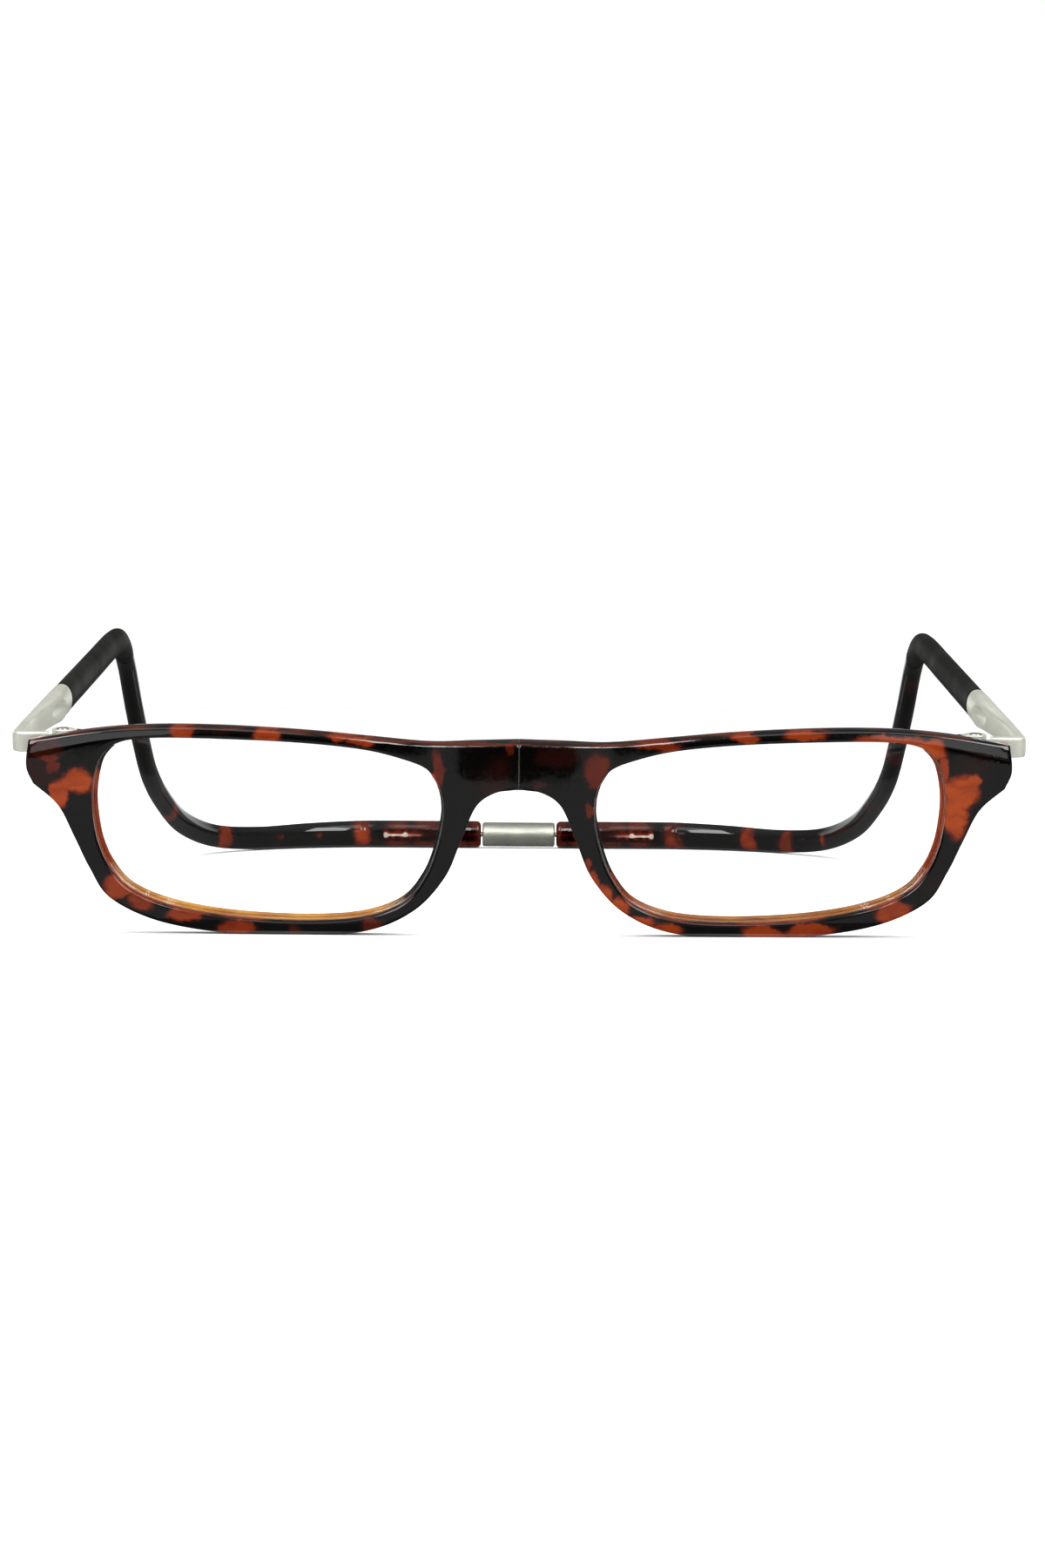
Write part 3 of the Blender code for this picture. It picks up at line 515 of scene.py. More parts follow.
def trim_below_floor(obj):
    """Slice off what lies below the floor plane and close the cut."""
    normal = X_AXIS.cross(FLOOR_REAR - FLOOR_FRONT).normalized()
    bm = bmesh.new()
    bm.from_mesh(obj.data)
    geometry = bm.verts[:] + bm.edges[:] + bm.faces[:]
    bmesh.ops.bisect_plane(
        bm, geom=geometry, dist=1e-6, plane_co=FLOOR_FRONT, plane_no=normal, clear_inner=True
    )
    bmesh.ops.holes_fill(bm, edges=[e for e in bm.edges if e.is_boundary])
    bmesh.ops.recalc_face_normals(bm, faces=bm.faces)
    bm.to_mesh(obj.data)
    bm.free()


def install(obj, node, rounding=0.0, angle=30):
    """Round a piece's edges, if asked, and stand it in the place of its CAD node."""
    if rounding:
        round_edges(obj, rounding, angle)
    obj.data.transform(STANCE)
    obj.data.shade_smooth()
    obj.data.set_sharp_from_angle(angle=math.radians(SHARP_ANGLE))
    obj.name = f"look_{node}"
    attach(obj, BODY_OF[node])
    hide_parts(node)
    return obj


# ---------------------------------------------------------------- shader helpers


class Shader:
    """A material's node tree, with short calls for the nodes used here."""

    def __init__(self, name):
        self.material = bpy.data.materials.new(name)
        self.material.use_nodes = True
        self.nodes = self.material.node_tree.nodes
        self.links = self.material.node_tree.links
        self.surface = self.nodes["Principled BSDF"]

    def feed(self, target, value):
        """Link a socket, or set a constant."""
        if isinstance(value, bpy.types.NodeSocket):
            self.links.new(value, target)
        else:
            target.default_value = value

    def math(self, operation, *values):
        node = self.nodes.new("ShaderNodeMath")
        node.operation = operation
        for target, value in zip(node.inputs, values):
            self.feed(target, value)
        return node.outputs[0]

    def product(self, first, *others):
        for value in others:
            first = self.math("MULTIPLY", first, value)
        return first

    def vector(self, operation, *values):
        node = self.nodes.new("ShaderNodeVectorMath")
        node.operation = operation
        for target, value in zip(node.inputs, values):
            self.feed(target, value)
        return node.outputs["Value" if operation in ("LENGTH", "DOT_PRODUCT") else "Vector"]

    def place(self):
        """The surface point in the glasses' own frame, in mm."""
        inverse = STANCE.inverted()
        mapping = self.nodes.new("ShaderNodeMapping")
        source = self.nodes.new("ShaderNodeTexCoord").outputs["Object"]
        self.links.new(source, mapping.inputs["Vector"])
        mapping.inputs["Location"].default_value = inverse.translation / MM
        mapping.inputs["Rotation"].default_value = inverse.to_euler()
        mapping.inputs["Scale"].default_value = (1 / MM, 1 / MM, 1 / MM)
        return mapping.outputs[0]

    def split(self, vector):
        node = self.nodes.new("ShaderNodeSeparateXYZ")
        self.links.new(vector, node.inputs[0])
        return node.outputs

    def noise(self, place, scale, detail, stretch=(1, 1, 1), output="Fac"):
        node = self.nodes.new("ShaderNodeTexNoise")
        self.links.new(self.vector("MULTIPLY", place, stretch), node.inputs["Vector"])
        node.inputs["Scale"].default_value = scale
        node.inputs["Detail"].default_value = detail
        return node.outputs[output]

    def ramp(self, value, low, high, start=0.0, end=1.0):
        node = self.nodes.new("ShaderNodeMapRange")
        node.interpolation_type = "SMOOTHSTEP"
        limits = {"From Min": low, "From Max": high, "To Min": start, "To Max": end}
        for key, number in limits.items():
            node.inputs[key].default_value = number
        self.feed(node.inputs["Value"], value)
        return node.outputs["Result"]

    def mix(self, share, first, second):
        node = self.nodes.new("ShaderNodeMix")
        node.data_type = "RGBA"
        self.feed(node.inputs["Factor"], share)
        for key, value in ((6, first), (7, second)):
            plain = not isinstance(value, bpy.types.NodeSocket)
            self.feed(node.inputs[key], (*value, 1) if plain else value)
        return node.outputs[2]

    def colours(self, value, stops):
        """A colour looked up by value in (position, colour) stops."""
        node = self.nodes.new("ShaderNodeValToRGB")
        elements = node.color_ramp.elements
        while len(elements) < len(stops):
            elements.new(0.5)
        for element, (position, colour) in zip(elements, stops):
            element.position = position
            element.color = (*colour, 1)
        self.links.new(value, node.inputs[0])
        return node.outputs[0]

    def bump(self, height, strength, distance):
        node = self.nodes.new("ShaderNodeBump")
        node.inputs["Strength"].default_value = strength
        node.inputs["Distance"].default_value = distance
        self.links.new(height, node.inputs["Height"])
        self.links.new(node.outputs[0], self.surface.inputs["Normal"])

    def show(self, shading):
        """Use a shading as the material's surface."""
        self.links.new(shading, self.nodes["Material Output"].inputs["Surface"])

    def show_blend(self, share, first, second):
        """Use a blend of two shadings; share is the second one's."""
        blend = self.nodes.new("ShaderNodeMixShader")
        for target, source in zip(blend.inputs, (share, first, second)):
            self.links.new(source, target)
        self.show(blend.outputs[0])

    def set(self, **values):
        """Set inputs of the Principled shader; underscores stand for spaces."""
        for key, value in values.items():
            if isinstance(value, tuple) and len(value) == 3:
                value = (*value, 1) if "Color" in key or "Tint" in key else value
            self.feed(self.surface.inputs[key.replace("_", " ")], value)


def patch_brightness(shader, place, patches):
    """Brightness of the brightest patch at a place.

    A patch is (x, y, z, half-size x, y, z, brightness), in mm.
    """
    brightest = None
    for patch in patches:
        offset = shader.vector("SUBTRACT", place, patch[:3])
        distance = shader.vector("LENGTH", shader.vector("DIVIDE", offset, patch[3:6]))
        share = shader.ramp(distance, *PATCH_FADE, 0.0, patch[6])
        brightest = share if brightest is None else shader.math("MAXIMUM", brightest, share)
    return brightest


# ---------------------------------------------------------------- materials

PLASTIC_IOR = 1.49
PATCH_FADE = (1.38, 0.72)  # a patch fades out between these shares of its size
# Colours of the shell, from its blackest to its brightest patches, by brightness.
SHELL_COLOURS = [
    (0.0, (0.0012, 0.0010, 0.0009)),
    (0.25, (0.012, 0.0022, 0.0012)),
    (0.5, (0.060, 0.0065, 0.0018)),
    (0.75, (0.140, 0.0165, 0.0025)),
    (1.0, (0.235, 0.034, 0.004)),
]
# The bezel's amber strip, as (light, dark): the shell's own amber, with painted light from above on
# the upward-facing lower wall; the right half's colours are the lighter. It sets in between these
# depths behind the face, these heights and these distances from the middle; the corner by the
# temple is bright as well.
LIT_AMBERS = {
    "right": ((0.52, 0.25, 0.042), (0.33, 0.115, 0.017)),
    "left": ((0.34, 0.13, 0.022), (0.21, 0.06, 0.011)),
}
AMBER_DEPTH = (2.0, 2.8)
AMBER_HEIGHT = (-18.0, -23.5)
AMBER_OUT = (15.0, 21.0)
CORNER_OUT = (56.0, 59.0)
CORNER_HEIGHT = (-5.0, -11.0)
BROW_LIT_RED = (0.14, 0.022, 0.005)  # painted light: red glow of light from above, on upward-facing faces of the front's thin upper edge

# Patches of the front, as (x, z, half width, half height, brightness), in mm on its face.
FRONT_PATCHES = {
    "right": [
        (-48.6, 0.9, 1.8, 1.1, 0.82),
        (-36.6, 0.7, 1.9, 1.1, 0.82),
        (-25.6, 0.4, 2.3, 0.7, 0.78),
        (-22.8, -0.5, 1.9, 0.6, 0.8),
        (-68.8, -1.9, 2.3, 2.0, 0.28),
        (-68.0, -3.2, 1.3, 0.6, 0.55),
        (-67.8, -4.6, 1.0, 1.0, 0.5),
        (-64.4, -6.6, 2.4, 1.7, 1.0),
        (-66.9, -8.4, 1.2, 2.1, 0.95),
        (-58.2, -22.2, 2.2, 1.7, 0.8),
        (-55.2, -24.4, 2.3, 1.4, 0.8),
        (-48.8, -26.3, 2.4, 1.2, 0.8),
        (-41.2, -28.2, 2.8, 1.0, 0.75),
        (-32.8, -28.4, 1.0, 0.9, 0.35),
        (-21.2, -27.6, 1.5, 1.1, 0.5),
        (-11.8, -4.4, 0.8, 2.8, 0.52),
        (-12.8, -6.2, 0.6, 1.1, 0.85),
        (-1.0, -1.2, 0.7, 0.7, 0.4),
    ],
    "left": [
        (5.7, -2.4, 3.0, 1.6, 0.17),
        (2.9, -6.5, 1.2, 0.6, 0.27),
        (11.2, -4.3, 1.9, 2.7, 0.5),
        (10.2, -10.2, 0.6, 1.1, 0.5),
        (20.4, -0.7, 3.2, 0.9, 0.6),
        (32.6, 0.5, 1.7, 0.9, 0.78),
        (41.6, 0.7, 2.9, 0.8, 0.82),
        (54.0, 0.1, 5.4, 0.8, 0.85),
        (59.6, -1.0, 2.4, 1.4, 0.95),
        (61.6, -4.2, 1.0, 2.6, 0.8),
        (64.3, -7.3, 2.5, 2.3, 1.0),
        (66.1, -5.9, 1.0, 1.0, 0.95),
        (63.4, -11.2, 1.5, 3.3, 1.0),
        (55.1, -25.4, 2.6, 1.5, 0.85),
        (42.6, -28.1, 3.6, 1.2, 0.82),
        (36.2, -28.6, 3.6, 1.2, 0.82),
        (9.9, -18.9, 0.8, 1.6, 0.7),
        (11.0, -21.0, 1.1, 1.7, 0.85),
        (12.6, -23.1, 1.4, 1.7, 1.0),
        (14.7, -25.0, 1.8, 1.4, 1.0),
        (17.6, -26.8, 2.3, 1.2, 0.95),
        (21.4, -28.1, 2.7, 1.0, 0.85),
    ],
}
# Patches of the neck bands, as (place along the route, half length in mm, brightness).
BAND_PATCHES = {
    "right": [
        (6.6, 3.0, 0.3),
        (8.5, 1.9, 0.5),
        (9.35, 2.8, 0.55),
        (11.15, 3.0, 0.65),
        (12.35, 1.7, 0.75),
        (13.25, 1.8, 0.85),
        (14.45, 2.9, 0.85),
    ],
    "left": [
        (7.2, 2.6, 0.35),
        (9.0, 1.6, 0.45),
        (9.6, 1.6, 0.5),
        (10.85, 1.7, 0.72),
        (11.75, 2.4, 0.62),
        (12.55, 2.5, 0.75),
        (14.5, 2.9, 0.8),
    ],
}
ROD_GLOWS_FROM = (19.5, 22.0)  # the glow sets in and is full, in mm from the middle
GROUND_GLASS = ((0.80, 0.82, 0.80), (0.68, 0.70, 0.70))
RUBBER_COLOURS = ((0.0062, 0.0064, 0.0056), (0.0105, 0.0108, 0.0095))
DEEP_TINT = (0.42, 0.085, 0.035)  # of the band's clear window
ROD_GLINT_TINT = (1.0, 0.96, 0.88)  # of the window's painted highlight along the rod
WINDOW_STARTS = (8.2, 9.4)  # that window sets in and ends between these distances, in mm
WINDOW_ENDS = (30.5, 28.0)
BEAD_GLINTS_X = (23.8, 27.9)  # where painted highlights of the rod's two beads sit, in mm
WINDOW_MOTTLES = [(15.4, 3.4, 0.5), (15.9, 4.2, 0.42), (16.4, 4.0, 0.5), (16.9, 3.0, 0.45)]


def marbled(shader, place):
    """The place pushed about by coarse and fine noise, which makes patches ragged."""
    coarse, fine = [
        shader.vector("SUBTRACT", shader.noise(place, *grain, output="Color"), (0.5, 0.5, 0.5))
        for grain in ((0.3, 1.0), (1.3, 3.0))
    ]
    warped = shader.vector("MULTIPLY_ADD", coarse, (2.2, 2.2, 2.2), place)
    return shader.vector("MULTIPLY_ADD", fine, (0.9, 0.9, 0.9), warped)


def tortoise_colour(shader, place, patches):
    """Black-brown shell with deep red and orange patches; returns colour and brightness."""
    warped = marbled(shader, place)
    cloud = shader.ramp(shader.noise(warped, 0.11, 1.0), 0.6, 0.75, 0.0, 0.2)
    bright = shader.math("MAXIMUM", patch_brightness(shader, warped, patches), cloud)
    streaks = shader.noise(warped, 0.7, 4.0, (0.4, 1, 1))
    bright = shader.product(bright, shader.ramp(streaks, 0.3, 0.6, 0.82, 1.0))
    return shader.colours(bright, SHELL_COLOURS), bright


def polished_plastic(shader, colour, bright):
    """Polish the shell: a hard gloss, faint ripples, and light that soaks into the patches."""
    place = shader.place()
    glow = shader.product(bright, 0.12)
    shader.set(Base_Color=colour, IOR=PLASTIC_IOR, Subsurface_Weight=glow)
    shader.surface.subsurface_method = "RANDOM_WALK"
    shader.surface.inputs["Subsurface Radius"].default_value = (1.0, 0.25, 0.06)
    shader.surface.inputs["Subsurface Scale"].default_value = 1.5 * MM
    shader.set(Roughness=shader.ramp(shader.noise(place, 1.6, 4.0), 0.35, 0.75, 0.035, 0.11))
    shader.bump(shader.noise(place, 0.22, 1.0), 0.12, 0.2 * MM)


def through(patches, grow=0.0):
    """Patches of the front's face, run right through its depth."""
    return [(x, 2.5, z, w + grow, 30.0, h + grow, b) for x, z, w, h, b in patches]


def front_material(name):
    """Tortoiseshell of one half-front; its upward-facing faces are painted redder, a painted glow
    of light from above in its thin upper edge.
    """
    shader = Shader(f"tortoise_front_{name}")
    place = shader.place()
    colour, bright = tortoise_colour(shader, place, through(FRONT_PATCHES[name]))
    # Painted light: faces that turn upwards take a red glow, streaked by the shell's veins.
    facing = shader.split(shader.nodes.new("ShaderNodeTexCoord").outputs["Normal"])
    edge = shader.ramp(facing[2], 0.35, 0.9)
    veins = shader.noise(place, 0.28, 3.0, (0.4, 1, 1))
    edge = shader.product(edge, shader.ramp(veins, 0.42, 0.6), 0.5)
    polished_plastic(shader, shader.mix(edge, colour, BROW_LIT_RED), bright)
    return shader.material


def bezel_material(name):
    """The front's inner wall: the same shell seen edge on, amber along the lower half, partly the
    shell's own amber and partly painted light from above on that upward-facing wall.
    """
    shader = Shader(f"lit_amber_bezel_{name}")
    place = shader.place()
    warped = marbled(shader, place)
    across, _, up = shader.split(warped)
    across = shader.product(across, SIDES[name])
    x, y, _ = shader.split(place)
    curve = shader.product(x, x, 0.5 * MM / FRONT_SWEEP_RADIUS)
    # Painted light: the amber lies only deep behind the face, on the lower, upward-facing wall.
    behind = shader.ramp(shader.math("SUBTRACT", y, curve), *AMBER_DEPTH)
    low = shader.ramp(up, *AMBER_HEIGHT)
    lit_amber_share = shader.product(low, shader.ramp(across, *AMBER_OUT), behind)
    corner = shader.ramp(across, *CORNER_OUT)
    corner = shader.product(corner, shader.ramp(up, *CORNER_HEIGHT), 0.9)
    bright = patch_brightness(shader, warped, through(FRONT_PATCHES[name], 1.2))
    bright = shader.math("MAXIMUM", bright, corner)
    shell = shader.colours(bright, SHELL_COLOURS)
    grain = shader.noise(place, 0.8, 3.0, (0.3, 1, 1))
    amber = shader.mix(shader.ramp(grain, 0.3, 0.7), *LIT_AMBERS[name])
    shader.set(
        Base_Color=shader.mix(lit_amber_share, shell, amber),
        IOR=PLASTIC_IOR,
        Roughness=shader.ramp(grain, 0.3, 0.7, 0.10, 0.2),
    )
    shader.bump(shader.noise(place, 0.5, 2.0), 0.1, 0.2 * MM)
    return shader.material


def band_material(name, side):
    """Tortoiseshell of one neck band, clear enough over its bore to show the spring; along the rod
    and round its two beads the window's tint is paler, a painted highlight of the rod.
    """
    shader = Shader(f"tortoise_band_{name}")
    place = shader.place()
    centres = [Vector(p) for p in ROUTE]

    def on_route(where, half, brightness):
        point = curve_point(centres, where)
        return (point.x * side, point.y, point.z, half, half, half, brightness)

    patches = [on_route(*patch) for patch in BAND_PATCHES[name] + WINDOW_MOTTLES]
    colour, bright = tortoise_colour(shader, place, patches)
    polished_plastic(shader, colour, bright)
    x, y, z = shader.split(place)
    along = shader.product(x, side)
    level = shader.math("ABSOLUTE", shader.math("SUBTRACT", z, NAPE.z / MM + 0.1))
    in_front = shader.ramp(y, NAPE.y / MM + 0.3, NAPE.y / MM - 0.5)
    window = shader.product(
        shader.ramp(along, *WINDOW_ENDS),
        shader.ramp(along, *WINDOW_STARTS),
        shader.ramp(level, 1.55, 0.95),
        in_front,
        0.92,
    )
    # Painted highlight: a pale, clearer line along the rod and round its two beads, weaker towards
    # the middle, set into the window's tint.
    brighter = shader.ramp(along, 22.5, 24.0, 0.45, 1.0)
    line = shader.product(shader.ramp(level, 0.36, 0.2), brighter)
    for bead in BEAD_GLINTS_X:
        apart = shader.math("POWER", shader.math("SUBTRACT", along, bead), 2.0)
        spot = shader.math("SQRT", shader.math("MULTIPLY_ADD", level, level, apart))
        line = shader.math("MAXIMUM", line, shader.ramp(spot, 0.75, 0.5))
    clear = shader.nodes.new("ShaderNodeBsdfTransparent")
    shader.links.new(shader.mix(line, DEEP_TINT, ROD_GLINT_TINT), clear.inputs["Color"])
    shader.show_blend(window, shader.surface.outputs[0], clear.outputs[0])
    return shader.material


def lens_material():
    """Clear lens: it lets light straight through and mirrors a little of it."""
    shader = Shader("clear_lens")
    clear = shader.nodes.new("ShaderNodeBsdfTransparent")
    clear.inputs["Color"].default_value = (0.985, 0.99, 0.99, 1)
    smears = shader.noise(shader.place(), 0.12, 3.0, (1, 1, 0.4))
    facing = shader.nodes.new("ShaderNodeLayerWeight").outputs["Facing"]
    mirrored = shader.math("MULTIPLY_ADD", shader.math("POWER", facing, 5.0), 0.5, 0.012)
    gloss = shader.nodes.new("ShaderNodeBsdfGlossy")
    shader.links.new(shader.ramp(smears, 0.3, 0.7, 0.0, 0.03), gloss.inputs["Roughness"])
    shader.show_blend(mirrored, clear.outputs[0], gloss.outputs[0])
    shader.nodes.remove(shader.surface)
    return shader.material


def lens_edge_material():
    """Ground bevel of the lens: pale, half clear and silky."""
    shader = Shader("ground_lens_edge")
    grind = shader.noise(shader.place(), 6.0, 2.0)
    shader.set(
        Base_Color=shader.mix(shader.ramp(grind, 0.3, 0.7), *GROUND_GLASS),
        Roughness=shader.ramp(grind, 0.3, 0.7, 0.25, 0.4),
        Alpha=0.7,
    )
    return shader.material


def metal_material(name, colours, metallic, rough, grain_scale, stretch, bump, glow=0.0):
    """Metal with a fine grain and a little tarnish; rough is its (least, most) roughness.

    A glow stands for the light that the clear plastic gathers on the rod deep in the band.
    """
    shader = Shader(name)
    place = shader.place()
    tarnish = shader.noise(place, 0.25, 3.0)
    grain = shader.noise(place, grain_scale, 3.0, stretch)
    shader.set(
        Base_Color=shader.mix(shader.ramp(tarnish, 0.35, 0.75), *colours),
        Metallic=metallic,
        Roughness=shader.ramp(grain, 0.3, 0.7, *rough),
    )
    shader.bump(grain, bump, 0.02 * MM)
    if glow:
        from_middle = shader.math("ABSOLUTE", shader.split(place)[0])
        shader.set(Emission_Strength=shader.ramp(from_middle, *ROD_GLOWS_FROM, 0.0, glow))
    return shader.material


def rubber_material():
    """Soft-touch coating: matt, with a fine tooth and faint wear."""
    shader = Shader("soft_touch_black")
    place = shader.place()
    wear = shader.noise(place, 0.12, 4.0)
    shader.set(
        Base_Color=shader.mix(shader.ramp(wear, 0.4, 0.7), *RUBBER_COLOURS),
        Roughness=shader.ramp(wear, 0.3, 0.75, 0.62, 0.5),
        Specular_IOR_Level=0.14,
    )
    shader.bump(shader.noise(place, 9.0, 3.0), 0.25, 0.03 * MM)
    return shader.material


def make_materials():
    """The finishes, by name."""
    even, lengthwise = (1, 1, 1), (0.05, 1, 1)
    champagne = ((0.86, 0.87, 0.76), (0.76, 0.77, 0.66))
    drawn = ((0.50, 0.51, 0.44), (0.42, 0.43, 0.37))
    bright = ((0.80, 0.78, 0.72), (0.66, 0.64, 0.59))
    plated = ((0.62, 0.63, 0.65), (0.50, 0.51, 0.53))
    return {
        "nickel": metal_material("satin_nickel", champagne, 0.7, (0.28, 0.4), 12.0, even, 0.3),
        "tube": metal_material("drawn_tube", drawn, 0.88, (0.3, 0.4), 7.0, lengthwise, 0.15),
        "steel": metal_material("bright_steel", bright, 0.9, (0.12, 0.24), 10.0, even, 0.2),
        "rod": metal_material("rod_steel", bright, 0.9, (0.12, 0.24), 10.0, even, 0.2, 0.55),
        "magnet": metal_material("plated_magnet", plated, 1.0, (0.10, 0.2), 5.0, even, 0.1),
        "rubber": rubber_material(),
        "lens": lens_material(),
        "lens_edge": lens_edge_material(),
    }


# ---------------------------------------------------------------- the half-front


def sweep(x):
    """How far the front has curved back at x."""
    return x * x / (2 * FRONT_SWEEP_RADIUS)


def rim_back(x):
    """Y of the rim's back face: thicker at the bridge, flat behind the end piece."""
    share = smooth_share((BRIDGE_THIN_FROM - x) / (BRIDGE_THIN_FROM - BRIDGE_THICK_TO))
    plain = min(sweep(x) + RIM_DEPTH, FRONT_BACK_LIMIT)
    return plain + BRIDGE_EXTRA_DEPTH * share


def rim_stations():
    """(opening point, outer point) in XZ round the loft, with the outer corners eased."""
    edges = [
        TOP_KEYS,
        [TOP_KEYS[-1], *END_KEYS],
        [END_KEYS[-1], *LOWER_KEYS],
        [LOWER_KEYS[-1], *SEAM_KEYS, TOP_KEYS[0]],
    ]
    openings = [Vector(k[:2]) * MM for edge in edges for k in edge[:-1]]
    inner, outer = [], []
    for edge in edges:
        outers = [Vector(k[2:]) * MM for k in edge]
        for step in range((len(edge) - 1) * SPAN_STEPS):
            inner.append(curve_point(openings, len(inner) / SPAN_STEPS, closed=True))
            outer.append(curve_point(outers, step / SPAN_STEPS))
    for point in outer:
        if point.x < 1 * MM:
            point.x = max(point.x - SEAM_X + SEAM_LOOK_X, SEAM_LOOK_X)
    return list(zip(inner, outer))


STATIONS = rim_stations()


def distance_to(points, line):
    """Distance from each of N points to the nearest segment of a line of points."""
    points = np.array(points)[:, None, :]
    starts = np.array(line[:-1])[None]
    spans = np.array(line[1:])[None] - starts
    lengths = np.maximum((spans**2).sum(-1), 1e-18)
    share = np.clip(((points - starts) * spans).sum(-1) / lengths, 0, 1)
    gaps = points - (starts + spans * share[..., None])
    return np.sqrt((gaps**2).sum(-1)).min(1)


def rounded(distance, radius):
    """Depth of a round edge below the face, at a distance from the edge."""
    inside = np.clip(radius - distance, 0, radius)
    return radius - np.sqrt(radius**2 - inside**2)


def smooth_steps(values, low, high):
    """Smooth steps from 0 at low to 1 at high."""
    share = np.clip((values - low) / (high - low), 0, 1)
    return share * share * (3 - 2 * share)


def limb_rise(x, z):
    """How far the nose limb stands forward: a ledge below the brow that fades downwards."""
    start, full, past, end = [v * MM for v in LIMB_X]
    top, crest, foot = [v * MM for v in LIMB_Z]
    across = smooth_steps(x, start, full) * smooth_steps(x, end, past)
    ledge = np.clip((z - top) / (crest - top), 0, 1)
    fade = np.clip((z - foot) / (crest - foot), 0, 1)
    return LIMB_RISE * across * ledge * fade


def front_depths(places):
    """Y of the front face at each (x, z): swept, bevelled along the brow, with round edges."""
    outer = [tuple(o) for _, o in STATIONS]
    seam_start = (len(TOP_KEYS) - 1 + len(END_KEYS) + len(LOWER_KEYS)) * SPAN_STEPS
    top_end = (len(TOP_KEYS) - 1) * SPAN_STEPS
    opening = [tuple(i) for i, _ in STATIONS]
    to_outer = distance_to(places, outer[:seam_start])
    to_top = distance_to(places, outer[: top_end + 1])
    to_opening = distance_to(places, opening + opening[:1])
    x, z = np.array(places).T
    to_seam = x - SEAM_LOOK_X
    brow_x, brow_width = np.array(BROW_WIDTH).T * MM
    brow = BROW_SLOPE * np.maximum(np.interp(x, brow_x, brow_width) - to_top, 0)
    edges = rounded(to_outer, OUTER_ROUND) + brow - limb_rise(x, z)
    edges = np.maximum(edges, rounded(to_seam, SEAM_ROUND))
    edges = np.maximum(edges, rounded(to_opening, INNER_ROUND))
    return x**2 / (2 * FRONT_SWEEP_RADIUS) + edges


def quarter_turn(radius, count=5):
    """Distances from an edge that divide a round of that radius evenly."""
    return [radius * (1 - math.cos(math.radians(90 * i / count))) for i in range(count + 1)]


def rim_rings():
    """Rings of the rim, from the opening out over the front and home along the back."""
    near = quarter_turn(INNER_ROUND)
    far = quarter_turn(OUTER_ROUND)
    shares = [1 - (1 - i / FACE_STEPS) ** FACE_CROWDING for i in range(1, FACE_STEPS)]
    plan = []
    for opening, outer in STATIONS:
        across = outer - opening
        width = across.length
        across.normalize()
        span = width - far[-1] - near[-1]
        middle = [near[-1] + span * share for share in shares]
        outs = near + middle + [width - d for d in reversed(far)]
        plan.append((opening, across, width, outs))
    places = [tuple(o + a * out) for o, a, _, outs in plan for out in outs]
    depths = iter(front_depths(places))
    rings = []
    for opening, across, width, outs in plan:
        ring = []

        def at(out, y):
            point = opening + across * out
            ring.append(Vector((point.x, y(point.x), point.y)))

        for out in outs:
            depth = float(next(depths))
            at(out, lambda x: depth)
        edge = ring[-1].y
        rear = rim_back((opening + across * width).x) - BACK_ROUND
        for share in (0.25, 0.5, 0.75, 1.0):
            at(width, lambda x: edge + (rear - edge) * share)
        for c, s in turns(30, 60, 90):
            at(width - BACK_ROUND * (1 - c), lambda x: rim_back(x) - BACK_ROUND * (1 - s))
        for c, s in turns(90, 45, 0):
            at(LIP_ROUND * (1 - c) - LIP_STEP, lambda x: rim_back(x) - LIP_ROUND * (1 - s))
        for out, behind in (
            (-LIP_STEP, LIP_FROM + LIP_ROUND),
            (LIP_ROUND - LIP_STEP, LIP_FROM),
            (0, LIP_FROM),
            (0, GROOVE_AT + GROOVE_LIP),
            (GROOVE_DEPTH, GROOVE_AT + GROOVE_FLOOR),
            (GROOVE_DEPTH, GROOVE_AT - GROOVE_FLOOR),
            (0, GROOVE_AT - GROOVE_LIP),
        ):
            at(out, lambda x: sweep(x) + behind)
        rings.append(ring)
    return rings


BEZEL_POINTS = 9  # the last points of a ring run along the inner wall


def make_rim(name, side):
    """Half-front with its bezel, magnet pocket and rivet holes."""
    node = f"rim_{name}"
    rings = rim_rings()
    count = len(rings[0])
    wall = range(count - BEZEL_POINTS, count)
    materials = [front_material(name), bezel_material(name)]
    rim = skin(node, rings, materials, side, loop=True, wall=wall)
    trim_below_floor(rim)
    pocket = cylinder(MAGNET_RADIUS + TOUCH_GAP, -OVERSHOOT, MAGNET_LENGTH + TOUCH_GAP)
    combine(rim, turned("pocket", pocket, MAGNET_PLACE, X_AXIS, None, side), "DIFFERENCE")
    for z in RIVET_Z.values():
        combine(rim, rivet_hole(z, side), "DIFFERENCE")
    if name == MOULD_MARK_SIDE:
        combine(rim, mould_mark(side), "DIFFERENCE")
    install(rim, node)


def mould_mark(side):
    """Cutter for the faint ring that a mould pin leaves on one end piece."""
    x, z, radius = [v * MM for v in MOULD_MARK]
    face = sweep(x) + 0.02 * MM
    wire, ahead = MOULD_MARK_WIRE, face - OVERSHOOT
    groove = [(radius - wire, ahead), (radius - wire, face)]
    groove += [(radius, face + wire), (radius + wire, face), (radius + wire, ahead)]
    return turned("mould_mark", groove, Vector((x, 0, z)), Y_AXIS, None, side, loop=True)


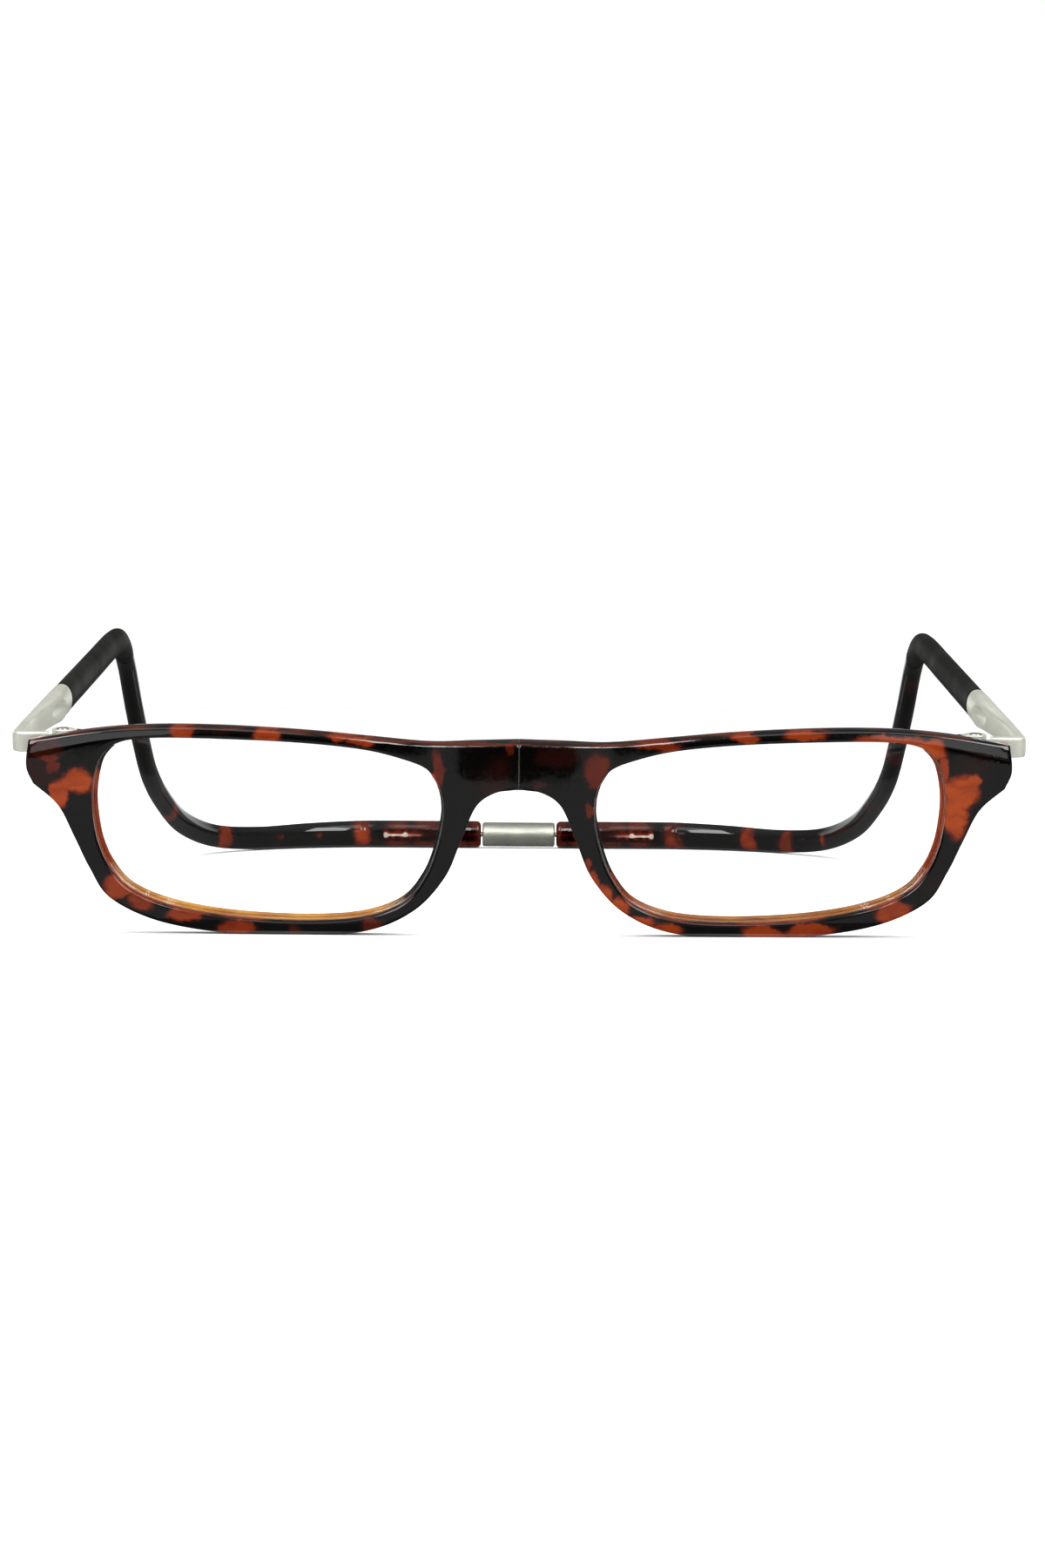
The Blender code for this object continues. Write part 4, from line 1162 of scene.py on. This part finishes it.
def make_lens(name, side, material, edge_material):
    """Lens of even thickness, bulging forward, with a steep ground bevel for an edge."""
    middle = sum((opening for opening, _ in STATIONS), Vector((0, 0))) / len(STATIONS)

    def ring(half, share=1.0, offset=0.0):
        points = []
        for opening, outer in STATIONS:
            place = opening + (outer - opening).normalized() * offset
            place = middle + (place - middle) * share
            bulge = LENS_BULGE * (1 - share * share)
            points.append(Vector((place.x, sweep(place.x) + GROOVE_AT - bulge + half, place.y)))
        return points

    shares = [i / LENS_RINGS for i in range(1, LENS_RINGS)]
    rings = [ring(-LENS_HALF, share) for share in shares]
    rings.append(ring(-LENS_HALF, offset=-LENS_FRONT_SHOULDER_IN))
    rings.append(ring(-LENS_EDGE_HALF, offset=LENS_EDGE_OUT))
    rings.append(ring(LENS_EDGE_HALF, offset=LENS_EDGE_OUT))
    rings.append(ring(LENS_HALF, offset=-LENS_SHOULDER_IN))
    rings += [ring(LENS_HALF, share) for share in reversed(shares)]
    lens = skin(f"lens_{name}", rings, [material, edge_material], side)
    for face in lens.data.polygons:
        if abs(face.normal.y) < LENS_BEVEL_FACING:
            face.material_index = 1
    install(lens, f"lens_{name}")


def make_magnet(name, side, material):
    """Disc magnet, flush with the seam face."""
    profile = cylinder(MAGNET_RADIUS, 0, MAGNET_LENGTH)
    magnet = turned("magnet", profile, MAGNET_PLACE, X_AXIS, material, side)
    install(magnet, f"bridge_magnet_{name}", 0.12 * MM)


# ---------------------------------------------------------------- the hinge


def leaf_front():
    """Y of the hinge leaf's face next to the end piece."""
    return FRONT_BACK_LIMIT + TOUCH_GAP


def box_outline(x_range, y, z_range):
    """A rectangle in a plane of constant y."""
    (x0, x1), (z0, z1) = x_range, z_range
    return [Vector((x, y, z)) for x, z in rectangle(x0, z0, x1, z1)]


def lug_outline(z):
    """The leaf's knuckle in plan: a web that leads into a round eye."""
    web_from = LEAF_X[1] - 0.8 * MM
    front = leaf_front()
    points = [Vector((web_from, front, z)), Vector((HINGE_X, front, z))]
    for c, s in turns(*range(-60, 151, 6)):
        points.append(Vector((HINGE_X + KNUCKLE_RADIUS * c, HINGE_Y + KNUCKLE_RADIUS * s, z)))
    points.append(Vector((web_from, front + 0.8 * LEAF_THICKNESS, z)))
    return points


def hinge_hole(side):
    """Cutter for the hinge pin, with a seat for the screw's head at the top."""
    seat = SCREW_HEAD_TOP - SCREW_HEAD_HEIGHT - TOUCH_GAP
    shank = PIN_RADIUS + TOUCH_GAP
    head = SCREW_HEAD_RADIUS + TOUCH_GAP
    bottom, top = -6 * MM, 2 * MM  # clear of the leaf and of the elbow's barrel
    profile = cylinder(shank, bottom, seat)[:3] + cylinder(head, seat, top)[1:]
    return turned("hinge_hole", profile, HINGE_PLACE, Z_AXIS, None, side)


def rivet_hole(z, side):
    """Cutter for one rivet."""
    start, end = RIVET_TIP_Y - TOUCH_GAP, leaf_front() + 2 * OVERSHOOT
    profile = cylinder(PIN_RADIUS + TOUCH_GAP, start, end)
    return turned("rivet_hole", profile, Vector((RIVET_X, 0, z)), Y_AXIS, None, side)


def make_hinge_leaf(name, side, material):
    """Plate riveted behind the end piece, with two lugs for the hinge screw."""
    outline = box_outline(LEAF_X, leaf_front(), LEAF_Z)
    leaf = extruded("leaf", outline, Y_AXIS * LEAF_THICKNESS, material, side)
    for z in (HINGE_BOTTOM, HINGE_TOP - LUG_HEIGHT):
        combine(leaf, extruded("lug", lug_outline(z), Z_AXIS * LUG_HEIGHT, None, side), "UNION")
    combine(leaf, hinge_hole(side), "DIFFERENCE")
    for z in RIVET_Z.values():
        combine(leaf, rivet_hole(z, side), "DIFFERENCE")
    install(leaf, f"hinge_leaf_{name}", 0.1 * MM)


def make_rivet(name, place, side, material):
    """Rivet: a shank in the end piece and a domed head behind the leaf."""
    seat = leaf_front() + LEAF_THICKNESS + TOUCH_GAP
    profile = cylinder(PIN_RADIUS, RIVET_TIP_Y, seat)[:3]
    profile.append((RIVET_HEAD_RADIUS, seat))
    dome = RIVET_HEAD_HEIGHT - RIVET_HEAD_RIM
    for c, s in turns(*range(0, 90, 15)):
        profile.append((RIVET_HEAD_RADIUS * c, seat + RIVET_HEAD_RIM + dome * s))
    profile.append((0, seat + RIVET_HEAD_HEIGHT))
    centre = Vector((RIVET_X, 0, RIVET_Z[place]))
    rivet = turned("rivet", profile, centre, Y_AXIS, material, side)
    install(rivet, f"leaf_rivet_{place}_{name}")


def make_hinge_screw(name, side, material):
    """Hinge screw: a slotted head in the upper lug and a shank down through the stack."""
    seat = SCREW_HEAD_TOP - SCREW_HEAD_HEIGHT
    profile = cylinder(PIN_RADIUS, HINGE_BOTTOM, seat)[:3]
    profile.append((SCREW_HEAD_RADIUS, seat))
    for c, s in turns(*range(0, 90, 15)):
        inset = 0.35 * SCREW_HEAD_RADIUS * (1 - c)
        height = SCREW_HEAD_TOP - SCREW_SHOULDER * (1 - s)
        profile.append((SCREW_HEAD_RADIUS - inset, height))
    profile.append((0, SCREW_HEAD_TOP))
    screw = turned("screw", profile, HINGE_PLACE, Z_AXIS, material, side)
    width, depth = SCREW_SLOT
    slot_x = (HINGE_X - 2 * OVERSHOOT, HINGE_X + 2 * OVERSHOOT)
    slot_z = (SCREW_HEAD_TOP - depth, SCREW_HEAD_TOP + OVERSHOOT)
    outline = box_outline(slot_x, HINGE_Y - width / 2, slot_z)
    combine(screw, extruded("slot", outline, Y_AXIS * width, None, side), "DIFFERENCE")
    install(screw, f"hinge_screw_{name}", 0.04 * MM, angle=45)


# ---------------------------------------------------------------- the elbow and its tongue


def elbow_rings(steps=6):
    """Sections across the metal arm, smoothly joined from its tip to the collar."""
    smooth = [Vector((*s[:3], 0)) * MM for s in ELBOW_STATIONS[ELBOW_SMOOTH_FROM:]]
    sizes = [Vector(s[3:]) for s in ELBOW_STATIONS[ELBOW_SMOOTH_FROM:]]
    stations = [(Vector(s[:3]) * MM, Vector(s[3:])) for s in ELBOW_STATIONS[:ELBOW_SMOOTH_FROM]]
    for i in range((len(smooth) - 1) * steps + 1):
        place = i / steps
        stations.append((curve_point(smooth, place).to_3d(), curve_point(sizes, place)))
    rings = []
    for i, (centre, size) in enumerate(stations):
        before = stations[max(i - 1, 0)][0]
        after = stations[min(i + 1, len(stations) - 1)][0]
        heading = after - before
        heading.z = 0
        thickness, height, squareness = size
        section = superellipse(thickness * MM, height * MM, squareness)
        rings.append(ring_across(centre, heading, section))
    return rings


def tongue_heading():
    """Direction in which the tongue slides."""
    return (Vector(ROUTE[2]) - Vector(ROUTE[0])).normalized()


def tongue_centre(along):
    """Point on the tongue's centre line at a distance from its front end."""
    start = Vector(ROUTE[0]) * MM
    heading = tongue_heading()
    offset = (TONGUE_FROM_Y - start.y) / heading.y
    return start + heading * (offset + along)


def make_elbow(name, side, material):
    """Elbow: hinge barrel, arm round the tip of the front, and collar with a scooped flank."""
    elbow = skin("elbow", elbow_rings(), [material], side)
    bottom = HINGE_BOTTOM + LUG_HEIGHT + TOUCH_GAP
    top = HINGE_TOP - LUG_HEIGHT - TOUCH_GAP
    profile = cylinder(KNUCKLE_RADIUS, bottom, top)
    combine(elbow, turned("barrel", profile, HINGE_PLACE, Z_AXIS, material, side), "UNION")
    combine(elbow, hinge_hole(side), "DIFFERENCE")
    section = superellipse(*[size + 2 * TOUCH_GAP for size in TONGUE_SIZE], 4)
    ends = [tongue_centre(-TOUCH_GAP), tongue_centre(SOCKET_DEPTH)]
    rings = [ring_across(end, tongue_heading(), section) for end in ends]
    combine(elbow, skin("socket", rings, [], side), "DIFFERENCE")
    combine(elbow, make_scoop(side), "DIFFERENCE")
    install(elbow, f"temple_elbow_{name}", 0.14 * MM, angle=32)


def make_scoop(side):
    """Cutter for the hollow on the inner side of the collar."""
    bm = bmesh.new()
    bmesh.ops.create_uvsphere(bm, u_segments=56, v_segments=28, radius=1)
    turn = Matrix.Rotation(math.radians(SCOOP_TURN), 3, "Z")
    for vertex in bm.verts:
        point = SCOOP_CENTRE + turn @ (vertex.co * SCOOP_RADII)
        vertex.co = (point.x * side, point.y, point.z)
    return object_of("scoop", bm, [])


def make_tongue(name, side, material):
    """Flat strip fixed in the collar, bowed near its tip so that it grips the sleeve."""
    rings = []
    for i in range((len(TONGUE_KEYS) - 1) * 4 + 1):
        share, bow = curve_point(TONGUE_KEYS, i / 4)
        width = TONGUE_SIZE[0] + min(max(bow, -1), 1) * TONGUE_BOW
        section = superellipse(width, TONGUE_SIZE[1], 4)
        along = min(max(share, 0), 1) * TONGUE_LENGTH
        rings.append(ring_across(tongue_centre(along), tongue_heading(), section))
    tongue = skin("tongue", rings, [material], side)
    install(tongue, f"slide_tongue_{name}", 0.08 * MM, angle=50)


# ---------------------------------------------------------------- the sleeve and the neck band


def route_ring(place, section, shift=None):
    """A ring across the temple's route at a place along it."""
    points = [Vector(p) * MM for p in ROUTE]
    centre = curve_point(points, place)
    step = 0.02
    low, high = max(place - step, 0), min(place + step, len(points) - 1)
    heading = curve_point(points, high) - curve_point(points, low)
    return ring_across(centre, heading, section, shift)


def places_between(start, end):
    """Places along the route from start to end, with the same spacing in each span."""
    first, last = math.floor(start * ROUTE_STEPS) + 1, math.ceil(end * ROUTE_STEPS) - 1
    inner = [k / ROUTE_STEPS for k in range(first, last + 1)]
    return [start, *inner, end]


def slanted_ring(place, section, end):
    """A ring near the slanted, wavy joint at end, sloped the more the nearer it lies."""
    share = max(1 - abs(place - end) / SLANT_FADE, 0)

    def shift(across, up):
        wave = SLEEVE_EDGE_WAVE * math.sin(900 * across + 1300 * up)
        return share * (SLEEVE_SLANT * across + wave)

    return route_ring(place, section, shift)


def make_sleeve(name, side, material):
    """Soft oval tube over the temple, cut off at a slanting wave behind the ear."""
    first, last = [
        SLEEVE_EDGE_ROUND / (Vector(ROUTE[k + 1]) - Vector(ROUTE[k])).length / MM for k in (0, 4)
    ]
    edge = ((1, 0.0), (0.35, 0.25), (0, 0.7))  # (share of the rounding from the end, shrunk)
    stations = [(first * inset, shrunk) for inset, shrunk in reversed(edge)]
    stations += [(place, 0.0) for place in places_between(first, SLEEVE_END - last)[1:-1]]
    stations += [(SLEEVE_END - last * inset, shrunk) for inset, shrunk in edge]
    rings = []
    for place, shrunk in stations:
        size = [length - 2 * shrunk * SLEEVE_EDGE_ROUND for length in SLEEVE_SIZE]
        rings.append(slanted_ring(place, oval(*size), SLEEVE_END))
    for place in reversed(places_between(0, SLEEVE_END)):
        rings.append(slanted_ring(place, oval(*SLEEVE_BORE), SLEEVE_END))
    sleeve = skin("sleeve", rings, [material], side, loop=True)
    install(sleeve, f"temple_sleeve_{name}")


def band_size(place):
    """(Thickness, height) of the neck band, which grows towards the nape."""
    share = smooth_share((place - BAND_GROWS_FROM) / (BAND_FULL_FROM - BAND_GROWS_FROM))
    return [a + (b - a) * share for a, b in zip(BAND_SIZE, BAND_END_SIZE)]


def make_band(name, side):
    """Half of the neck band: spigot, curved bar and bored, rounded end."""
    spigot = places_between(SPIGOT_START, BAND_START)
    rings = [slanted_ring(place, oval(*SPIGOT_SIZE), BAND_START) for place in spigot]
    end = len(ROUTE) - 1
    last_span = (Vector(ROUTE[-1]) - Vector(ROUTE[-2])).length * MM
    round_from = end - BAND_END_ROUND / last_span
    for place in places_between(BAND_START, round_from):
        rings.append(slanted_ring(place, oval(*band_size(place)), BAND_START))
    for c, s in turns(15, 30, 45, 60, 75, 90):
        size = [length - 2 * BAND_END_ROUND * (1 - c) for length in BAND_END_SIZE]
        rings.append(route_ring(round_from + (end - round_from) * s, oval(*size)))
    bore = superellipse(2 * BAND_BORE_RADIUS, 2 * BAND_BORE_RADIUS, 2)
    bore_floor = end - (BAND_BORE_TO - ROUTE[-1][0] * MM) / last_span
    straight = len(ROUTE) - 3
    for place in (end, end - 0.25, end - 0.5, end - 0.75, end - 1, end - 1.5, straight, bore_floor):
        x = ROUTE[-1][0] * MM + (end - place) * last_span
        if place == straight:
            x = BAND_STRAIGHT_TO
        centre = Vector((min(x, BAND_BORE_TO), NAPE.y, NAPE.z))
        rings.append(ring_across(centre, -X_AXIS, bore))
    band = skin("band", rings, [band_material(name, side)], side)
    trim_below_floor(band)
    install(band, f"neck_band_{name}")


# ---------------------------------------------------------------- the expander at the nape


def make_tube(material):
    """Metal tube with a blind hole for a rod at each end."""
    hole = ROD_RADIUS + TOUCH_GAP
    floor = ROD_FROM - TOUCH_GAP
    half = [
        (0, floor),
        (hole, floor),
        (hole, TUBE_HALF),
        (TUBE_RADIUS - TUBE_CHAMFER, TUBE_HALF),
        (TUBE_RADIUS, TUBE_HALF - TUBE_CHAMFER),
    ]
    profile = half + [(radius, -along) for radius, along in reversed(half)]
    tube = turned("tube", profile, NAPE, X_AXIS, material)
    install(tube, "expander_tube", 0.08 * MM)


def make_rod(name, side, material):
    """Rod that stands in the tube, with a rounded head that holds the spring."""
    tip = ROD_HEAD_AT + ROD_HEAD_LENGTH
    profile = [
        (0, ROD_FROM),
        (ROD_RADIUS, ROD_FROM),
        (ROD_RADIUS, ROD_BEAD_AT - ROD_BEAD_HALF[1]),
        (ROD_BEAD_RADIUS, ROD_BEAD_AT - ROD_BEAD_HALF[0]),
        (ROD_BEAD_RADIUS, ROD_BEAD_AT + ROD_BEAD_HALF[0]),
        (ROD_RADIUS, ROD_BEAD_AT + ROD_BEAD_HALF[1]),
        (ROD_RADIUS, ROD_HEAD_AT),
        (ROD_HEAD_RADIUS, ROD_HEAD_AT),
        (ROD_HEAD_RADIUS, ROD_HEAD_AT + 0.7 * ROD_HEAD_LENGTH),
        (0.7 * ROD_HEAD_RADIUS, tip),
        (0, tip),
    ]
    rod = turned("rod", profile, NAPE, X_AXIS, material, side)
    install(rod, f"expander_rod_{name}", 0.08 * MM)


def make_bush(name, side, material):
    """Ring in the mouth of the band's bore, which runs on the rod and pushes the spring."""
    inner, outer = BUSH_RADII
    start, end = BUSH_FROM, BUSH_FROM + BUSH_LENGTH
    profile = [(inner, start), (outer, start), (outer, end), (inner, end)]
    bush = turned("bush", profile, NAPE, X_AXIS, material, side, loop=True)
    install(bush, f"expander_bush_{name}", 0.07 * MM)


def make_spring(name, side, material):
    """Compression spring round the rod, drawn at one length; the real one closes up as the band is
    pulled out.
    """
    start = BUSH_FROM + BUSH_LENGTH + TOUCH_GAP + SPRING_WIRE_RADIUS
    length = ROD_HEAD_AT - TOUCH_GAP - SPRING_WIRE_RADIUS - start
    section = superellipse(2 * SPRING_WIRE_RADIUS, 2 * SPRING_WIRE_RADIUS, 2, 10)
    rings = []
    for i in range(SPRING_TURNS * SPRING_STEPS + 1):
        angle = math.tau * i / SPRING_STEPS
        along = start + length * i / (SPRING_TURNS * SPRING_STEPS)
        spoke = Vector((0, math.cos(angle), math.sin(angle)))
        heading = Vector((0, -math.sin(angle), math.cos(angle))) * math.tau * SPRING_RADIUS
        heading += X_AXIS * length / SPRING_TURNS
        over = heading.normalized().cross(spoke)
        centre = NAPE + X_AXIS * along + spoke * SPRING_RADIUS
        rings.append([centre + spoke * u + over * v for u, v in section])
    spring = install(skin("spring", rings, [material], side), f"expander_spring_{name}")
    fixed_end = STANCE @ (NAPE + X_AXIS * (ROD_HEAD_AT - TOUCH_GAP))
    fixed_end.x *= side
    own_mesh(spring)


# ---------------------------------------------------------------- the stage


def stage_material(name, colour, roughness):
    """Plain surface for the floor and the flags, with a barely visible unevenness."""
    shader = Shader(name)
    grain = shader.noise(shader.place(), 0.01, 2.0)
    shade = tuple(0.97 * c for c in colour)
    shader.set(
        Base_Color=shader.mix(grain, colour, shade),
        Roughness=roughness,
        Specular_IOR_Level=0.2,
    )
    return shader.material


def sheet(name, corners, material):
    """A flat sheet, staged beside the object."""
    mesh = bpy.data.meshes.new(name)
    mesh.from_pydata(corners, [], [tuple(range(len(corners)))])
    mesh.materials.append(material)
    obj = bpy.data.objects.new(name, mesh)
    bpy.context.scene.collection.objects.link(obj)
    return obj


def glow_material(name, low, high=None, to_z=1.0):
    """Glow of a reflected sheet, the same all over or changing evenly up to a height."""
    shader = Shader(name)
    glow = shader.nodes.new("ShaderNodeEmission")
    if high is None:
        glow.inputs["Strength"].default_value = low
    else:
        z = shader.split(shader.nodes.new("ShaderNodeTexCoord").outputs["Object"])[2]
        shader.links.new(shader.ramp(z, 0.0, to_z, low, high), glow.inputs["Strength"])
    shader.show(glow.outputs[0])
    shader.nodes.remove(shader.surface)
    shader.material.cycles.emission_sampling = "NONE"
    return shader.material


def only_reflected(obj):
    """Let nothing but gloss see a staged sheet."""
    obj.visible_camera = False
    obj.visible_diffuse = False
    obj.visible_shadow = False
    obj.visible_transmission = False


def upright(name, start, end, z_range, glow):
    """A standing sheet between two (x, y) spots that only the gloss sees."""
    bottom, top = z_range
    corners = [(*start, bottom), (*end, bottom), (*end, top), (*start, top)]
    only_reflected(sheet(name, corners, glow))


def lying(name, outline, z, glow):
    """A level sheet that only the gloss sees."""
    only_reflected(sheet(name, [(x, y, z) for x, y in outline], glow))


def leaning(name, x_range, low, high, glow):
    """A sheet across X between two (y, z) edges that only the gloss sees."""
    start, end = x_range
    corners = [(start, *low), (end, *low), (end, *high), (start, *high)]
    only_reflected(sheet(name, corners, glow))


def make_stage():
    """White floor, and round it the dim room that only the gloss sees."""
    floor = rectangle(-FLOOR_HALF, -FLOOR_HALF, FLOOR_HALF, FLOOR_HALF)
    sheet("floor", [(x, y, 0) for x, y in floor], stage_material("floor_white", FLOOR_WHITE, 0.6))
    glow = {name: glow_material(f"{name}_glow", *levels) for name, levels in GLOWS.items()}
    ground = rectangle(-ROOM_HALF, -ROOM_HALF, ROOM_HALF, ROOM_HALF)
    walls = {"front": "wall", "left": "wall", "rear": "rear", "right": "wall"}
    for i, (name, finish) in enumerate(walls.items()):
        ends = ground[i], ground[(i + 1) % 4]
        upright(f"room_{name}", *ends, (0, ROOM_HEIGHT), glow[finish])
    lying("room_ceiling", ground, ROOM_HEIGHT, glow["wall"])
    lowest, middle, highest = FLOOR_LAYERS
    lying("room_floor", ground, lowest, glow["room_floor"])
    lying("near_floor", rectangle(*NEAR_FLOOR), middle, glow["near_floor"])
    lying("tip_glow", rectangle(*TIP_FLOOR), middle, glow["tip_floor"])
    lying("nape_floor", rectangle(*NAPE_FLOOR), middle, glow["nape_floor"])
    for side in SIDES.values():
        overhead, ledge = (0.06 * side, 0.45 * side), (0.0145 * side, 0.0225 * side)
        leaning("overhead", overhead, (-0.95, 0.8), (-0.25, 1.1), glow["overhead"])
        leaning("ledge", ledge, (-0.25, 0.1), (-0.2, 0.25), glow["ledge"])
        panel = (0.33 * side, -1.4), (0.6 * side, -1.4)
        upright("front_panel", *panel, (0.1, 0.42), glow["panel"])
        lamp = (0.85 * side, -0.55), (0.5 * side, -1.0)
        upright("side_glow", *lamp, (0.4, 1.3), glow["side_lamp"])
    lying("flag", FLAG_OUTLINE, highest, glow_material("flag_black", 0.0))


def area_light(name, place, size, power):
    """Soft rectangular lamp that points at the object, and that no gloss sees."""
    data = bpy.data.lights.new(name, "AREA")
    data.shape = "RECTANGLE"
    data.size, data.size_y = size
    data.energy = power
    lamp = bpy.data.objects.new(name, data)
    lamp.location = place
    lamp.rotation_euler = (-Vector(place)).to_track_quat("-Z", "Y").to_euler()
    lamp.visible_glossy = False
    bpy.context.scene.collection.objects.link(lamp)


def make_lights():
    """An even white surround, and soft lamps overhead and at both sides.

    The gloss sees the staged glow sheets in their place.
    """
    world = bpy.data.worlds.new("white_surround")
    bpy.context.scene.world = world
    world.use_nodes = True
    background = world.node_tree.nodes["Background"]
    background.inputs["Color"].default_value = (1, 1, 1, 1)
    background.inputs["Strength"].default_value = WORLD_GLOW
    area_light("overhead", *OVERHEAD_LAMP)
    (x, y, z), size, power = SIDE_LAMP
    for side in SIDES.values():
        area_light("side_lamp", (x * side, y, z), size, power)


def make_camera():
    """Camera a little above the glasses, straight in front of the bridge."""
    data = bpy.data.cameras.new("camera")
    data.lens = CAMERA_LENS
    data.sensor_width = CAMERA_SENSOR
    data.shift_x = CAMERA_SHIFT_X
    camera = bpy.data.objects.new("camera", data)
    pitch = Matrix.Rotation(math.radians(90 - CAMERA_PITCH_DOWN), 4, "X")
    roll = Matrix.Rotation(math.radians(CAMERA_ROLL), 4, "Z")
    camera.matrix_world = STANCE @ Matrix.Translation(CAMERA_PLACE) @ pitch @ roll
    bpy.context.scene.collection.objects.link(camera)
    bpy.context.scene.camera = camera


# ---------------------------------------------------------------- assembly


def main():
    finish = make_materials()
    make_tube(finish["tube"])
    for name, side in SIDES.items():
        make_rim(name, side)
        make_lens(name, side, finish["lens"], finish["lens_edge"])
        make_magnet(name, side, finish["magnet"])
        make_hinge_leaf(name, side, finish["nickel"])
        make_hinge_screw(name, side, finish["steel"])
        for place in RIVET_Z:
            make_rivet(name, place, side, finish["steel"])
        make_elbow(name, side, finish["nickel"])
        make_tongue(name, side, finish["steel"])
        make_sleeve(name, side, finish["rubber"])
        make_band(name, side)
        make_bush(name, side, finish["rod"])
        make_rod(name, side, finish["rod"])
        make_spring(name, side, finish["rod"])
    make_stage()
    make_lights()
    make_camera()
    bpy.context.scene.view_settings.view_transform = "Standard"


main()
